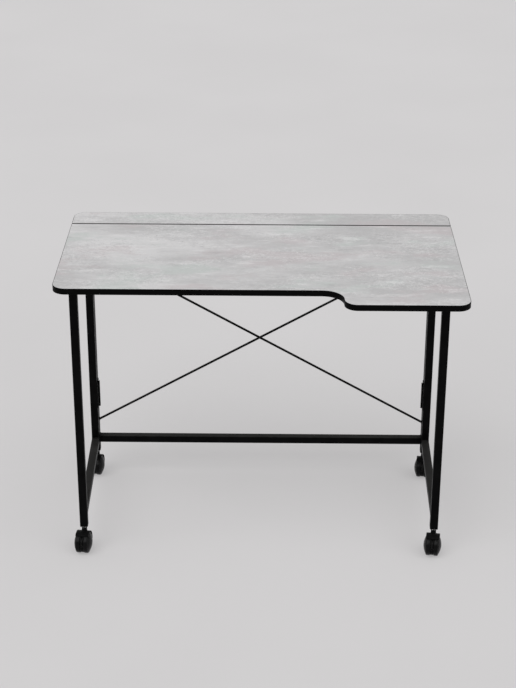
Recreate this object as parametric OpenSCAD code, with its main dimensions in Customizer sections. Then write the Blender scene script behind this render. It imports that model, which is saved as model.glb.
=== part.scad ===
// Folding laptop table on castors.
// The main board is hinged to a fixed rear strip, which stands on a braced rear frame.
// Two side frames carry the main board and fold inwards on upright hinges.
// X runs to the right, -Y to the front and Z up, in millimetres.
// The origin is on the floor, under the middle of the top.

/* [Tabletop] */
// Width of the top
top_w = 970; // [950:5:1050]
// Depth of the whole top at its deeper right-hand side
top_d = 595; // [570:5:640]
// Height of the top above the floor
table_h = 750; // [700:5:800]
// Thickness of the boards
board_t = 15; // [14:1:22]
// Thickness of the edging band
edging_t = 1; // [1:0.5:3]
// Depth of the fixed strip along the back
strip_d = 82; // [78:1:100]
// Gap between the main board and the strip
top_gap = 4; // [3.5:0.5:6]
// Radius of the outer corners
corner_r = 32; // [15:1:45]
// How far the left part of the front edge is set back
front_step = 83; // [82:1:110]
// Distance of the step from the middle of the top
step_x = 195; // [100:5:300]
// Radius of the hollow bend of the step
step_hollow_r = 50; // [30:1:51]
// Radius of the rounded nose of the step
step_nose_r = 31; // [15:1:32]

/* [Frames] */
// Width of the square tube
tube = 20; // [18:1:25]
// Wall thickness of the tube
tube_wall = 1.2; // [1:0.1:2]
// Outer corner radius of the tube
tube_r = 2; // [1.5:0.1:3]
// Distance from the side edges of the top to the posts
side_inset = 24; // [18:1:35]
// Distance from the back edge of the top to the rear frame
rear_inset = 25; // [18:1:28]
// Gap between the rear frame and the side frames
frame_gap = 2; // [1:0.5:3]
// Depth of a side frame
side_frame_d = 400; // [340:2:404]
// Angle that the side frames stand turned in on their hinges
toe_in = 1.1; // [0:0.1:1.5]
// Height of the underside of the rear crossbar
crossbar_z = 94; // [92:1:130]
// Height of the underside of the side frames' bottom rails
side_rail_z = 98; // [92:1:130]
// Clearance between the side frames' top rails and the knuckles they swing under
rail_clear = 2.8; // [1:0.1:10]

/* [Cross brace] */
// Diameter of the brace rods
rod_d = 6; // [4:0.5:6.5]
// Height of the lower ends of the rods
brace_low_z = 160; // [155:1:180]
// Height of the upper ends of the rods
brace_high_z = 660; // [655:1:670]
// Gap between the two rods where they cross
rod_gap = 0.4; // [0.3:0.1:1]

/* [Frame hinges] */
// Length of the upright hinges
frame_hinge_l = 76; // [60:1:80]
// Width of a leaf from the pin to its free edge
frame_leaf_w = 18; // [16:0.5:19]
// Thickness of the leaves
frame_leaf_t = 1.5; // [1:0.1:2]
// Outer diameter of the knuckles
frame_knuckle_d = 6; // [5.5:0.5:8]
// Diameter of the pins
frame_pin_d = 3; // [2:0.5:3.5]
// Height of the middle of the lower hinges
hinge_low_z = 246; // [230:1:300]
// Height of the middle of the upper hinges
hinge_high_z = 590; // [500:1:600]
// Diameter of the hinge screws in the tubes
frame_screw_d = 4; // [3:0.5:4.5]
// Length of the hinge screws in the tubes
frame_screw_l = 7; // [5:1:10]

/* [Top hinges] */
// Length of the hinges under the gap
top_hinge_l = 50; // [40:1:70]
// Width of a leaf from the pin to its free edge
top_leaf_w = 22; // [20:0.5:26]
// Thickness of the leaves
top_leaf_t = 1.2; // [1:0.1:1.5]
// Outer diameter of the knuckles
top_knuckle_d = 6; // [5.5:0.5:7]
// Diameter of the pins
top_pin_d = 3; // [2:0.5:3.5]
// Distance of the outer hinges from the middle of the top
top_hinge_x = 300; // [200:5:340]
// Diameter of the wood screws in the boards
wood_screw_d = 3.5; // [3:0.5:4]
// Length of the wood screws in the boards
wood_screw_l = 11; // [9:1:12]

/* [Strip screws] */
// Number of screws up through the rear top rail
strip_screw_n = 4; // [3:1:6]
// Distance of the outermost screws from the ends of the rail
strip_screw_end = 60; // [40:5:120]
// Diameter of these screws
strip_screw_d = 4; // [3.5:0.5:5]
// Depth that they reach into the strip
strip_screw_in = 10; // [8:1:12]

/* [Plugs] */
// Thickness of the plug heads
plug_head = 3; // [2:0.5:4]
// Chamfer round the plug heads
plug_chamfer = 1; // [0.5:0.1:1.2]
// Depth of the plugs that carry the castors
foot_plug_l = 22; // [21:1:30]
// Depth of the plugs in the tops of the side frames
top_plug_l = 12; // [8:1:20]
// Clearance between the top plugs and the board that rests on them
rest_gap = 0.3; // [0.2:0.1:0.6]
// Outer diameter of the threaded inserts
insert_d = 12; // [11:0.5:13]
// Length of the threaded inserts
insert_l = 16; // [12:1:18]

/* [Castors] */
// Height of the post plugs above the floor
castor_h = 67; // [66:1:76]
// Diameter of the wheels
wheel_d = 55; // [50:1:58]
// Width over both domed wheels
castor_w = 45; // [40:1:50]
// Width over the treads of both wheels
tread_w = 32; // [30:1:36]
// Gap between the rims of the two wheels
wheel_gap = 9.6; // [9.4:0.2:12]
// How far the castors are turned about their stems
castor_turn = -8; // [-180:1:180]
// Distance from the stem to the axle
trail = 17; // [14:0.5:18]
// Thickness of the rims
rim_t = 6; // [4:0.5:7]
// Thickness of the outer discs of the wheels at the rim
disc_t = 3; // [2:0.5:4]
// Diameter of the wheel hubs
hub_d = 13; // [10:0.5:16]
// Diameter of the axle
axle_d = 5; // [4:0.5:6]
// Thickness of the hood
hood_t = 1.4; // [1.2:0.1:2.2]
// Width of the hood
hood_w = 34; // [30:1:38]
// Angle that the hood reaches over the wheels, from the top towards the open side
hood_lip_a = 30; // [20:5:60]
// Angle that the hood reaches down behind the stem, from the top
hood_back_a = 100; // [70:5:110]
// Diameter of the collar round the stem
collar_d = 13.4; // [12:0.2:16]
// Diameter of the swivel pin
stem_d = 6; // [5:0.5:6]
// Diameter of the stem's thread
thread_d = 8; // [6:1:8]
// Length of the stem's thread
thread_l = 18; // [14:1:20]
// Width across flats of the stem's hexagon
hex_af = 11; // [10:0.5:13]
// Height of the stem's hexagon
hex_h = 4.6; // [3:0.2:6.4]

/* [Fits] */
// Radial clearance of pins, axles and swivels in their bores
pin_fit = 0.05; // [0.02:0.01:0.1]
// Radial clearance of screws in their holes
screw_fit = 0.05; // [0.02:0.01:0.1]
// Clearance of the plugs in the tubes, each side
plug_fit = 0.1; // [0.05:0.05:0.3]
// Clearance between pieces that turn past each other
turn_gap = 0.4; // [0.3:0.05:0.6]
// Clearance between knuckles, and between hinge knuckles and the face they turn past
knuckle_gap = 0.3; // [0.2:0.05:0.5]

/* [Hidden] */
$fn = 48;
SIDES = ["left", "right"];
CASTORS = ["front_left", "front_right", "rear_left", "rear_right"];
FIXED = [
    "rear_post_left", "rear_post_right", "rear_top_rail", "rear_crossbar",
    "brace_rod_rising", "brace_rod_falling",
    "rear_strip_board", "rear_strip_edging", "strip_screws",
    "frame_hinge_fixed_leaves", "frame_hinge_pins", "frame_hinge_fixed_screws",
    "top_hinge_fixed_leaves", "top_hinge_pins", "top_hinge_fixed_screws",
    "rear_foot_plugs", "rear_stem_inserts", "rear_castor_stems",
    "main_top_board", "main_top_edging", "top_hinge_moving_leaves", "top_hinge_moving_screws"
];
SIDE_PARTS = [
    "front_post", "rear_post", "top_rail", "bottom_rail", "top_plugs",
    "foot_plug", "stem_insert", "castor_stem", "hinge_leaves", "hinge_screws"
];
CASTOR_PARTS = ["hood", "axle", "left_wheel", "right_wheel"];

// Colours as they look
STEEL_BLACK = [0.08, 0.08, 0.085];
PLASTIC_BLACK = [0.06, 0.06, 0.065];
TREAD_BLACK = [0.11, 0.11, 0.115];
ZINC = [0.72, 0.72, 0.70];
LAMINATE = [0.72, 0.72, 0.71];
EDGE_BLACK = [0.04, 0.04, 0.04];

// Small overshoot of cutting shapes
cut = 0.5;

// Heights
under_z = table_h - board_t;
post_z = castor_h + plug_head;
rest_top_z = under_z - rest_gap;
side_post_top_z = rest_top_z - plug_head;
rear_rail_z = under_z - tube;

// Places across and along the table
post_x = top_w / 2 - side_inset - tube / 2;
inner_x = post_x - tube / 2;
back_y = top_d / 2;
front_y = -top_d / 2;
left_front_y = front_y + front_step;
strip_front_y = back_y - strip_d;
board_back_y = strip_front_y - top_gap;
rear_mid_y = back_y - rear_inset - tube / 2;
rear_face_y = rear_mid_y - tube / 2;
side_back_y = rear_face_y - frame_gap;
side_rear_mid_y = side_back_y - tube / 2;
side_front_mid_y = side_back_y - side_frame_d + tube / 2;

// Hinges of the side frames: the pins stand midway in the gap between the frames
frame_axis_out = frame_knuckle_d / 2 + knuckle_gap;
frame_axis_x = inner_x - frame_axis_out;
frame_axis_y = rear_face_y - frame_gap / 2;
frame_hinge_z = [hinge_low_z, hinge_high_z];
frame_knuckles = 5;
frame_leaf_holes = 3;

// Hinges of the main board: the pins lie under the gap
top_axis_out = top_knuckle_d / 2 + knuckle_gap;
top_axis_y = (strip_front_y + board_back_y) / 2;
top_axis_z = under_z - top_axis_out;
top_hinge_places = [-top_hinge_x, 0, top_hinge_x];
top_knuckles = 3;
top_leaf_holes = 3;

// Side frames' top rails pass under the top hinges as the frames swing
side_top_rail_z = top_axis_z - top_knuckle_d / 2 - rail_clear - tube;

// Screw heads, as shares of the thread's diameter, and their rounding, as a share of the head
head_ratio = 1.75;
head_h_ratio = 0.42;
head_chamfer_share = 0.35;
// Chamfer at the tip of a screw
tip_in = 0.5;
tip_l = 0.8;
// Heads of the hinge pins, as a share of the knuckle's diameter
pin_head_ratio = 0.8;
pin_head_t = 1;
// Share of a leaf's length that its screws are spread over
leaf_screw_span = 0.7;

// Inside corners of the tubes
tube_in_r = max(tube_r - tube_wall, 0.2);
plug_body = tube - 2 * (tube_wall + plug_fit);

// Castor sizes
wheel_r = wheel_d / 2;
web_t = wheel_gap - 2 * turn_gap;
hood_in_r = wheel_r + 2 * turn_gap;
hood_r = hood_in_r + hood_t;
web_edge = 1.5;
web_r = wheel_r - web_edge;
hex_z = castor_h - hex_h;
collar_z = hex_z - knuckle_gap;
pin_above_axle = 2;
pin_z = wheel_r + pin_above_axle;
socket_z = pin_z - knuckle_gap;
axle_extra = 1;
axle_l = tread_w + axle_extra;
wedge_reach = 3 * wheel_r;
tread_bevel = 1.2;
dome_rise = (castor_w - tread_w) / 2;
dome_base_r = wheel_r - tread_bevel;
dome_arc_r = (dome_base_r * dome_base_r + dome_rise * dome_rise) / (2 * dome_rise);
dome_arc_a = asin(dome_base_r / dome_arc_r);
dome_steps = 8;

// Points along an arc
function arc(cx, cy, r, a0, a1, n = 14) = [
    for (i = [0:n]) let (a = a0 + (a1 - a0) * i / n) [cx + r * cos(a), cy + r * sin(a)]
];

// Evenly spread places, symmetric about zero
function spread(n, span) = [for (i = [0:n - 1]) n == 1 ? 0 : span * (i / (n - 1) - 0.5)];

function side_of(i) = i == 0 ? -1 : 1;

function castor_x(i) = (i % 2 == 0 ? -1 : 1) * post_x;

function castor_y(i) = i < 2 ? side_front_mid_y : rear_mid_y;

// Places of the screws along a leaf, and their distance from the pin
function leaf_screw_places(len, n) = spread(n, len * leaf_screw_span);

function leaf_screw_out(leaf_w, knuckle_d) = (leaf_w + knuckle_d / 2) / 2;

strip_screw_places = spread(strip_screw_n, 2 * (inner_x - strip_screw_end));

// Outline of the main board, drawn in by e from its outer edge
function main_outline(e) = concat(
    arc(top_w / 2 - corner_r, front_y + corner_r, corner_r - e, -90, 0),
    [[top_w / 2 - e, board_back_y - e], [-top_w / 2 + e, board_back_y - e]],
    arc(-top_w / 2 + corner_r, left_front_y + corner_r, corner_r - e, 180, 270),
    arc(step_x - step_hollow_r, left_front_y - step_hollow_r, step_hollow_r + e, 90, 0),
    arc(step_x + step_nose_r, front_y + step_nose_r, step_nose_r - e, 180, 270)
);

// Outline of the rear strip, drawn in by e from its outer edge
function strip_outline(e) = concat(
    [[-top_w / 2 + e, strip_front_y + e], [top_w / 2 - e, strip_front_y + e]],
    arc(top_w / 2 - corner_r, back_y - corner_r, corner_r - e, 0, 90),
    arc(-top_w / 2 + corner_r, back_y - corner_r, corner_r - e, 90, 180)
);

// Square tube

module rounded_square(s, r) {
    square([s - 2 * r, s], center = true);
    square([s, s - 2 * r], center = true);
    for (x = [-1, 1]) {
        for (y = [-1, 1]) {
            translate([x * (s / 2 - r), y * (s / 2 - r)]) circle(r = r, $fn = 24);
        }
    }
}

module square_tube(length) {
    linear_extrude(height = length) {
        difference() {
            rounded_square(tube, tube_r);
            rounded_square(tube - 2 * tube_wall, tube_in_r);
        }
    }
}

// Tube that lies along X, from x0 to x1
module tube_x(x0, x1) {
    translate([x0, 0, 0]) rotate([0, 90, 0]) square_tube(x1 - x0);
}

// Tube that lies along Y, from y0 to y1
module tube_y(y0, y1) {
    translate([0, y0, 0]) rotate([-90, 0, 0]) square_tube(y1 - y0);
}

// Screws: the axis is X, the seat of the head at x = 0 and the shank towards -X

module screw(d, len) {
    head_r = d * head_ratio / 2;
    head_h = d * head_h_ratio;
    rotate([0, 90, 0]) {
        rotate_extrude() {
            polygon([
                [0, -len], [d / 2 - tip_in, -len], [d / 2, -len + tip_l], [d / 2, 0], [head_r, 0],
                [head_r, head_h * (1 - head_chamfer_share)], [head_r * (1 - head_chamfer_share), head_h],
                [0, head_h]
            ]);
        }
    }
}

module screw_hole(d, len) {
    rotate([0, 90, 0]) translate([0, 0, -len]) cylinder(d = d + 2 * screw_fit, h = len + cut);
}

// Butt hinges: the pin stands along Z through the origin, the leaf lies on the plane x = -axis_out.
// A leaf reaches towards +Y, or towards -Y when it is mirrored, and owns every other knuckle.
// The fixed leaves own the end knuckles, and the moving leaves own those between them.

FIXED_LEAF = 0;
MOVING_LEAF = 1;

module hinge_leaf(len, leaf_w, leaf_t, knuckle_d, pin_d, axis_out, first, knuckles, screw_d, holes) {
    step = len / knuckles;
    root = knuckle_d / 2 + turn_gap;
    difference() {
        union() {
            translate([-axis_out, root, -len / 2]) cube([leaf_t, leaf_w - root, len]);
            for (k = [first:2:knuckles - 1]) {
                translate([0, 0, -len / 2 + k * step + knuckle_gap / 2]) {
                    cylinder(d = knuckle_d, h = step - knuckle_gap);
                    translate([-axis_out, 0, 0]) cube([leaf_t, root + cut, step - knuckle_gap]);
                }
            }
        }
        translate([0, 0, -len / 2 - cut]) cylinder(d = pin_d + 2 * pin_fit, h = len + 2 * cut);
        for (z = leaf_screw_places(len, holes)) {
            translate([-axis_out + leaf_t, leaf_screw_out(leaf_w, knuckle_d), z]) {
                screw_hole(screw_d, leaf_t + cut);
            }
        }
    }
}

module hinge_pin(len, pin_d, knuckle_d) {
    translate([0, 0, -len / 2 - pin_head_t]) cylinder(d = knuckle_d * pin_head_ratio, h = pin_head_t);
    translate([0, 0, -len / 2 - pin_head_t]) cylinder(d = pin_d, h = len + 2 * pin_head_t);
}

// Places a child on each frame hinge of one side, with the post's inner face at x = -axis_out
module at_frame_hinges(side) {
    for (z = frame_hinge_z) {
        mirror([side > 0 ? 1 : 0, 0, 0]) translate([-frame_axis_x, frame_axis_y, z]) children();
    }
}

module frame_leaf(first) {
    hinge_leaf(
        frame_hinge_l, frame_leaf_w, frame_leaf_t, frame_knuckle_d, frame_pin_d, frame_axis_out,
        first, frame_knuckles, frame_screw_d, frame_leaf_holes
    );
}

module at_frame_leaf_screws() {
    for (z = leaf_screw_places(frame_hinge_l, frame_leaf_holes)) {
        translate([-frame_axis_out, leaf_screw_out(frame_leaf_w, frame_knuckle_d), z]) children();
    }
}

// Places a child on each top hinge, with the boards' underside at x = -axis_out
module at_top_hinges() {
    for (x = top_hinge_places) {
        translate([x, top_axis_y, top_axis_z]) rotate([0, 90, 0]) children();
    }
}

module top_leaf(first) {
    hinge_leaf(
        top_hinge_l, top_leaf_w, top_leaf_t, top_knuckle_d, top_pin_d, top_axis_out,
        first, top_knuckles, wood_screw_d, top_leaf_holes
    );
}

module at_top_leaf_screws() {
    for (z = leaf_screw_places(top_hinge_l, top_leaf_holes)) {
        translate([-top_axis_out, leaf_screw_out(top_leaf_w, top_knuckle_d), z]) children();
    }
}

// Boards

module board(outline) {
    translate([0, 0, under_z]) linear_extrude(height = board_t) polygon(outline);
}

module band(outer, inner) {
    translate([0, 0, under_z]) {
        linear_extrude(height = board_t) {
            difference() {
                polygon(outer);
                polygon(inner);
            }
        }
    }
}

module main_top_board() {
    color(LAMINATE) {
        difference() {
            board(main_outline(edging_t));
            at_top_hinges() mirror([0, 1, 0]) at_top_leaf_screws() {
                screw_hole(wood_screw_d, wood_screw_l - top_leaf_t);
            }
        }
    }
}

module main_top_edging() {
    color(EDGE_BLACK) band(main_outline(0), main_outline(edging_t));
}

module rear_strip_board() {
    color(LAMINATE) {
        difference() {
            board(strip_outline(edging_t));
            at_top_hinges() at_top_leaf_screws() {
                screw_hole(wood_screw_d, wood_screw_l - top_leaf_t);
            }
            at_strip_screws() screw_hole(strip_screw_d, tube + strip_screw_in);
        }
    }
}

module rear_strip_edging() {
    color(EDGE_BLACK) band(strip_outline(0), strip_outline(edging_t));
}

// Rear frame

module rear_post(side) {
    color(STEEL_BLACK) {
        difference() {
            translate([side * post_x, rear_mid_y, post_z]) square_tube(under_z - post_z);
            at_frame_hinges(side) at_frame_leaf_screws() screw_hole(frame_screw_d, frame_screw_l);
        }
    }
}

module rear_top_rail() {
    color(STEEL_BLACK) {
        difference() {
            translate([0, rear_mid_y, rear_rail_z + tube / 2]) tube_x(-inner_x, inner_x);
            at_strip_screws() screw_hole(strip_screw_d, tube + cut);
        }
    }
}

module rear_crossbar() {
    color(STEEL_BLACK) {
        translate([0, rear_mid_y, crossbar_z + tube / 2]) tube_x(-inner_x, inner_x);
    }
}

// Places a child under the rear top rail, with its axis upwards
module at_strip_screws() {
    for (x = strip_screw_places) {
        translate([x, rear_mid_y, rear_rail_z]) rotate([0, 90, 0]) children();
    }
}

module strip_screws() {
    color(ZINC) at_strip_screws() screw(strip_screw_d, tube + strip_screw_in - cut);
}

// Rod from its low end on the left to its high end on the right, a little off the middle of the tubes.
// Its ends are cut upright and meet the inner faces of the posts.
module rising_rod(y_offset) {
    rise = brace_high_z - brace_low_z;
    length = sqrt(rise * rise + 4 * inner_x * inner_x);
    intersection() {
        translate([0, rear_mid_y + y_offset, (brace_low_z + brace_high_z) / 2]) {
            rotate([0, 90 - atan2(rise, 2 * inner_x), 0]) {
                translate([0, 0, -length / 2 - rod_d]) cylinder(d = rod_d, h = length + 2 * rod_d);
            }
        }
        translate([-inner_x, rear_mid_y - tube, 0]) cube([2 * inner_x, 2 * tube, table_h]);
    }
}

module brace_rod_rising() {
    color(STEEL_BLACK) rising_rod((rod_d + rod_gap) / 2);
}

module brace_rod_falling() {
    color(STEEL_BLACK) mirror([1, 0, 0]) rising_rod(-(rod_d + rod_gap) / 2);
}

// Hinge pieces

module frame_hinge_fixed_leaves() {
    color(STEEL_BLACK) {
        for (side = [-1, 1]) at_frame_hinges(side) frame_leaf(FIXED_LEAF);
    }
}

module frame_hinge_pins() {
    color(ZINC) {
        for (side = [-1, 1]) at_frame_hinges(side) hinge_pin(frame_hinge_l, frame_pin_d, frame_knuckle_d);
    }
}

module frame_hinge_fixed_screws() {
    color(STEEL_BLACK) {
        for (side = [-1, 1]) {
            at_frame_hinges(side) at_frame_leaf_screws() {
                translate([frame_leaf_t, 0, 0]) screw(frame_screw_d, frame_screw_l);
            }
        }
    }
}

module top_hinge_fixed_leaves() {
    color(STEEL_BLACK) at_top_hinges() top_leaf(FIXED_LEAF);
}

module top_hinge_moving_leaves() {
    color(STEEL_BLACK) at_top_hinges() mirror([0, 1, 0]) top_leaf(MOVING_LEAF);
}

module top_hinge_pins() {
    color(ZINC) at_top_hinges() hinge_pin(top_hinge_l, top_pin_d, top_knuckle_d);
}

module top_hinge_fixed_screws() {
    color(ZINC) {
        at_top_hinges() at_top_leaf_screws() {
            translate([top_leaf_t, 0, 0]) screw(wood_screw_d, wood_screw_l - cut);
        }
    }
}

module top_hinge_moving_screws() {
    color(ZINC) {
        at_top_hinges() mirror([0, 1, 0]) at_top_leaf_screws() {
            translate([top_leaf_t, 0, 0]) screw(wood_screw_d, wood_screw_l - cut);
        }
    }
}

// Plugs: the tube's end is at z = 0, the head below it and the body above

module plug_block(s, z0, z1, r) {
    translate([0, 0, z0]) linear_extrude(height = z1 - z0) rounded_square(s, r);
}

module plug_head_profile() {
    h = tube / 2;
    c = plug_chamfer;
    rotate([90, 0, 0]) {
        linear_extrude(height = tube + 2 * cut, center = true) {
            polygon([
                [-h, 0], [-h, c - plug_head], [c - h, -plug_head],
                [h - c, -plug_head], [h, c - plug_head], [h, 0]
            ]);
        }
    }
}

module plug(length) {
    intersection() {
        plug_block(tube, -plug_head, 0, tube_r);
        plug_head_profile();
        rotate([0, 0, 90]) plug_head_profile();
    }
    plug_block(plug_body, 0, length, tube_in_r);
}

module foot_plug() {
    difference() {
        plug(foot_plug_l);
        translate([0, 0, -plug_head - cut]) cylinder(d = thread_d + 2 * screw_fit, h = plug_head + 2 * cut);
        cylinder(d = insert_d + 2 * screw_fit, h = foot_plug_l + cut);
    }
}

module stem_insert() {
    difference() {
        cylinder(d = insert_d, h = insert_l);
        translate([0, 0, -cut]) cylinder(d = thread_d + 2 * screw_fit, h = insert_l + 2 * cut);
    }
}

module castor_stem() {
    translate([0, 0, castor_h]) cylinder(d = thread_d, h = thread_l);
    translate([0, 0, hex_z]) cylinder(d = hex_af / cos(30), h = hex_h, $fn = 6);
    translate([0, 0, pin_z]) cylinder(d = stem_d, h = castor_h - pin_z);
}

module at_post_foot(i) {
    translate([castor_x(i), castor_y(i), 0]) children();
}

module rear_foot_plugs() {
    color(PLASTIC_BLACK) {
        for (i = [2, 3]) at_post_foot(i) translate([0, 0, post_z]) foot_plug();
    }
}

module rear_stem_inserts() {
    color(ZINC) {
        for (i = [2, 3]) at_post_foot(i) translate([0, 0, post_z]) stem_insert();
    }
}

module rear_castor_stems() {
    color(ZINC) {
        for (i = [2, 3]) at_post_foot(i) castor_stem();
    }
}

// Side frames

// Turns a side frame's child in about its hinges
module turned_in(side) {
    translate([side * frame_axis_x, frame_axis_y, 0]) {
        rotate([0, 0, -side * toe_in]) translate([-side * frame_axis_x, -frame_axis_y, 0]) children();
    }
}

module side_front_post(i) {
    color(STEEL_BLACK) {
        translate([side_of(i) * post_x, side_front_mid_y, post_z]) square_tube(side_post_top_z - post_z);
    }
}

// Mitre at the lower rear corner: turn = 0 cuts the post's foot, turn = 1 cuts the rail's end
module corner_mitre(turn) {
    y1 = side_back_y + cut;
    y0 = side_back_y - tube - cut;
    z0 = side_rail_z - cut;
    z1 = side_rail_z + tube + cut;
    rotate([90, 0, 90]) {
        linear_extrude(height = 2 * tube, center = true) {
            polygon(turn == 0 ? [[y1, z0], [y0, z1], [y0, z0]] : [[y1, z0], [y1, z1], [y0, z1]]);
        }
    }
}

module side_rear_post(i) {
    color(STEEL_BLACK) {
        difference() {
            translate([side_of(i) * post_x, side_rear_mid_y, side_rail_z]) {
                square_tube(side_post_top_z - side_rail_z);
            }
            translate([side_of(i) * post_x, 0, 0]) corner_mitre(0);
            at_frame_hinges(side_of(i)) mirror([0, 1, 0]) {
                at_frame_leaf_screws() screw_hole(frame_screw_d, frame_screw_l);
            }
        }
    }
}

module side_top_rail(i) {
    color(STEEL_BLACK) {
        translate([side_of(i) * post_x, 0, side_top_rail_z + tube / 2]) {
            tube_y(side_front_mid_y + tube / 2, side_rear_mid_y - tube / 2);
        }
    }
}

module side_bottom_rail(i) {
    color(STEEL_BLACK) {
        difference() {
            translate([side_of(i) * post_x, 0, side_rail_z + tube / 2]) {
                tube_y(side_front_mid_y + tube / 2, side_back_y);
            }
            translate([side_of(i) * post_x, 0, 0]) corner_mitre(1);
        }
    }
}

module side_top_plugs(i) {
    color(PLASTIC_BLACK) {
        for (y = [side_front_mid_y, side_rear_mid_y]) {
            translate([side_of(i) * post_x, y, side_post_top_z]) mirror([0, 0, 1]) plug(top_plug_l);
        }
    }
}

module side_foot_plug(i) {
    color(PLASTIC_BLACK) at_post_foot(i) translate([0, 0, post_z]) foot_plug();
}

module side_stem_insert(i) {
    color(ZINC) at_post_foot(i) translate([0, 0, post_z]) stem_insert();
}

module side_castor_stem(i) {
    color(ZINC) at_post_foot(i) castor_stem();
}

module side_hinge_leaves(i) {
    color(STEEL_BLACK) at_frame_hinges(side_of(i)) mirror([0, 1, 0]) frame_leaf(MOVING_LEAF);
}

module side_hinge_screws(i) {
    color(STEEL_BLACK) {
        at_frame_hinges(side_of(i)) mirror([0, 1, 0]) at_frame_leaf_screws() {
            translate([frame_leaf_t, 0, 0]) screw(frame_screw_d, frame_screw_l);
        }
    }
}

// Castors: the stem is on the origin, the axle lies along X in front of it and the floor is z = 0

// Places a child at a castor and turns it about the stem
module at_castor(i) {
    if (i < 2) {
        turned_in(side_of(i)) at_post_foot(i) rotate([0, 0, castor_turn]) children();
    } else {
        at_post_foot(i) rotate([0, 0, castor_turn]) children();
    }
}

// A disc round the axle, or with an inner radius a ring, of width w along X
module axle_disc(r, w, r_in = 0) {
    translate([0, -trail, wheel_r]) {
        rotate([0, 90, 0]) {
            difference() {
                cylinder(r = r, h = w, center = true);
                if (r_in > 0) cylinder(r = r_in, h = w + 2 * cut, center = true);
            }
        }
    }
}

// Wedge over the wheels between the hood's lip and its back edge
module hood_wedge(w) {
    angles = [90 + hood_lip_a, 90 + (hood_lip_a - hood_back_a) / 2, 90 - hood_back_a];
    translate([0, -trail, wheel_r]) {
        rotate([90, 0, 90]) {
            linear_extrude(height = w, center = true) {
                polygon(concat([[0, 0]], [for (a = angles) wedge_reach * [cos(a), sin(a)]]));
            }
        }
    }
}

module castor_hood() {
    color(PLASTIC_BLACK) {
        difference() {
            union() {
                intersection() {
                    union() {
                        axle_disc(hood_r, hood_w, hood_in_r);
                        axle_disc(hood_in_r + hood_t / 2, web_t);
                    }
                    hood_wedge(hood_w + 2 * cut);
                }
                axle_disc(web_r, web_t);
                difference() {
                    translate([0, 0, wheel_r]) cylinder(d = collar_d, h = collar_z - wheel_r);
                    axle_disc(hood_in_r, collar_d + 2 * cut);
                }
            }
            translate([0, 0, socket_z]) cylinder(d = stem_d + 2 * pin_fit, h = castor_h);
            axle_disc(axle_d / 2 + pin_fit, hood_w);
        }
    }
}

module castor_axle() {
    color(ZINC) axle_disc(axle_d / 2, axle_l);
}

// Right-hand wheel: profile of radius against distance from the castor's middle
module castor_wheel() {
    x_in = wheel_gap / 2;
    x_rim = tread_w / 2;
    bore_r = axle_d / 2 + pin_fit;
    bore_end = axle_l / 2 + turn_gap;
    cavity_x = x_rim - disc_t;
    dome = [
        for (i = [0:dome_steps - 1]) let (a = dome_arc_a * (1 - i / dome_steps))
            [dome_arc_r * sin(a), castor_w / 2 - dome_arc_r * (1 - cos(a))]
    ];
    translate([0, -trail, wheel_r]) {
        rotate([0, 90, 0]) {
            rotate_extrude($fn = 96) {
                polygon(concat(
                    [
                        [bore_r, x_in], [hub_d / 2, x_in], [hub_d / 2, cavity_x], [wheel_r - rim_t, cavity_x],
                        [wheel_r - rim_t, x_in], [wheel_r - tread_bevel, x_in], [wheel_r, x_in + tread_bevel],
                        [wheel_r, x_rim - tread_bevel]
                    ],
                    dome,
                    [[0, castor_w / 2], [0, bore_end], [bore_r, bore_end]]
                ));
            }
        }
    }
}

module castor_left_wheel() {
    color(TREAD_BLACK) mirror([1, 0, 0]) castor_wheel();
}

module castor_right_wheel() {
    color(TREAD_BLACK) castor_wheel();
}

rear_post(-1);  // rear_post_left
rear_post(1);  // rear_post_right
rear_top_rail();
rear_crossbar();
brace_rod_rising();
brace_rod_falling();
rear_strip_board();
rear_strip_edging();
strip_screws();
frame_hinge_fixed_leaves();
frame_hinge_pins();
frame_hinge_fixed_screws();
top_hinge_fixed_leaves();
top_hinge_pins();
top_hinge_fixed_screws();
rear_foot_plugs();
rear_stem_inserts();
rear_castor_stems();
main_top_board();
main_top_edging();
top_hinge_moving_leaves();
top_hinge_moving_screws();

for (i = [0, 1]) turned_in(side_of(i)) {
    side_front_post(i);
    side_rear_post(i);
    side_top_rail(i);
    side_bottom_rail(i);
    side_top_plugs(i);
    side_foot_plug(i);
    side_stem_insert(i);
    side_castor_stem(i);
    side_hinge_leaves(i);
    side_hinge_screws(i);
}

for (i = [0:3]) at_castor(i) {
    castor_hood();
    castor_axle();
    castor_left_wheel();
    castor_right_wheel();
}
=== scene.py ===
"""Looks of the folding laptop table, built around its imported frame.

Lengths are in millimetres unless a name ends in _m, and angles in degrees where a name or comment says so.
Meshes are made in metres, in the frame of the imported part: X to the right, -Y to the front, Z up.
"""

import sys

import logging
import math
from dataclasses import dataclass, field
from enum import Enum
from functools import cache
from typing import ClassVar, Iterable, Sequence

import bmesh
import bpy
from mathutils import Euler, Matrix, Vector


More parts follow.
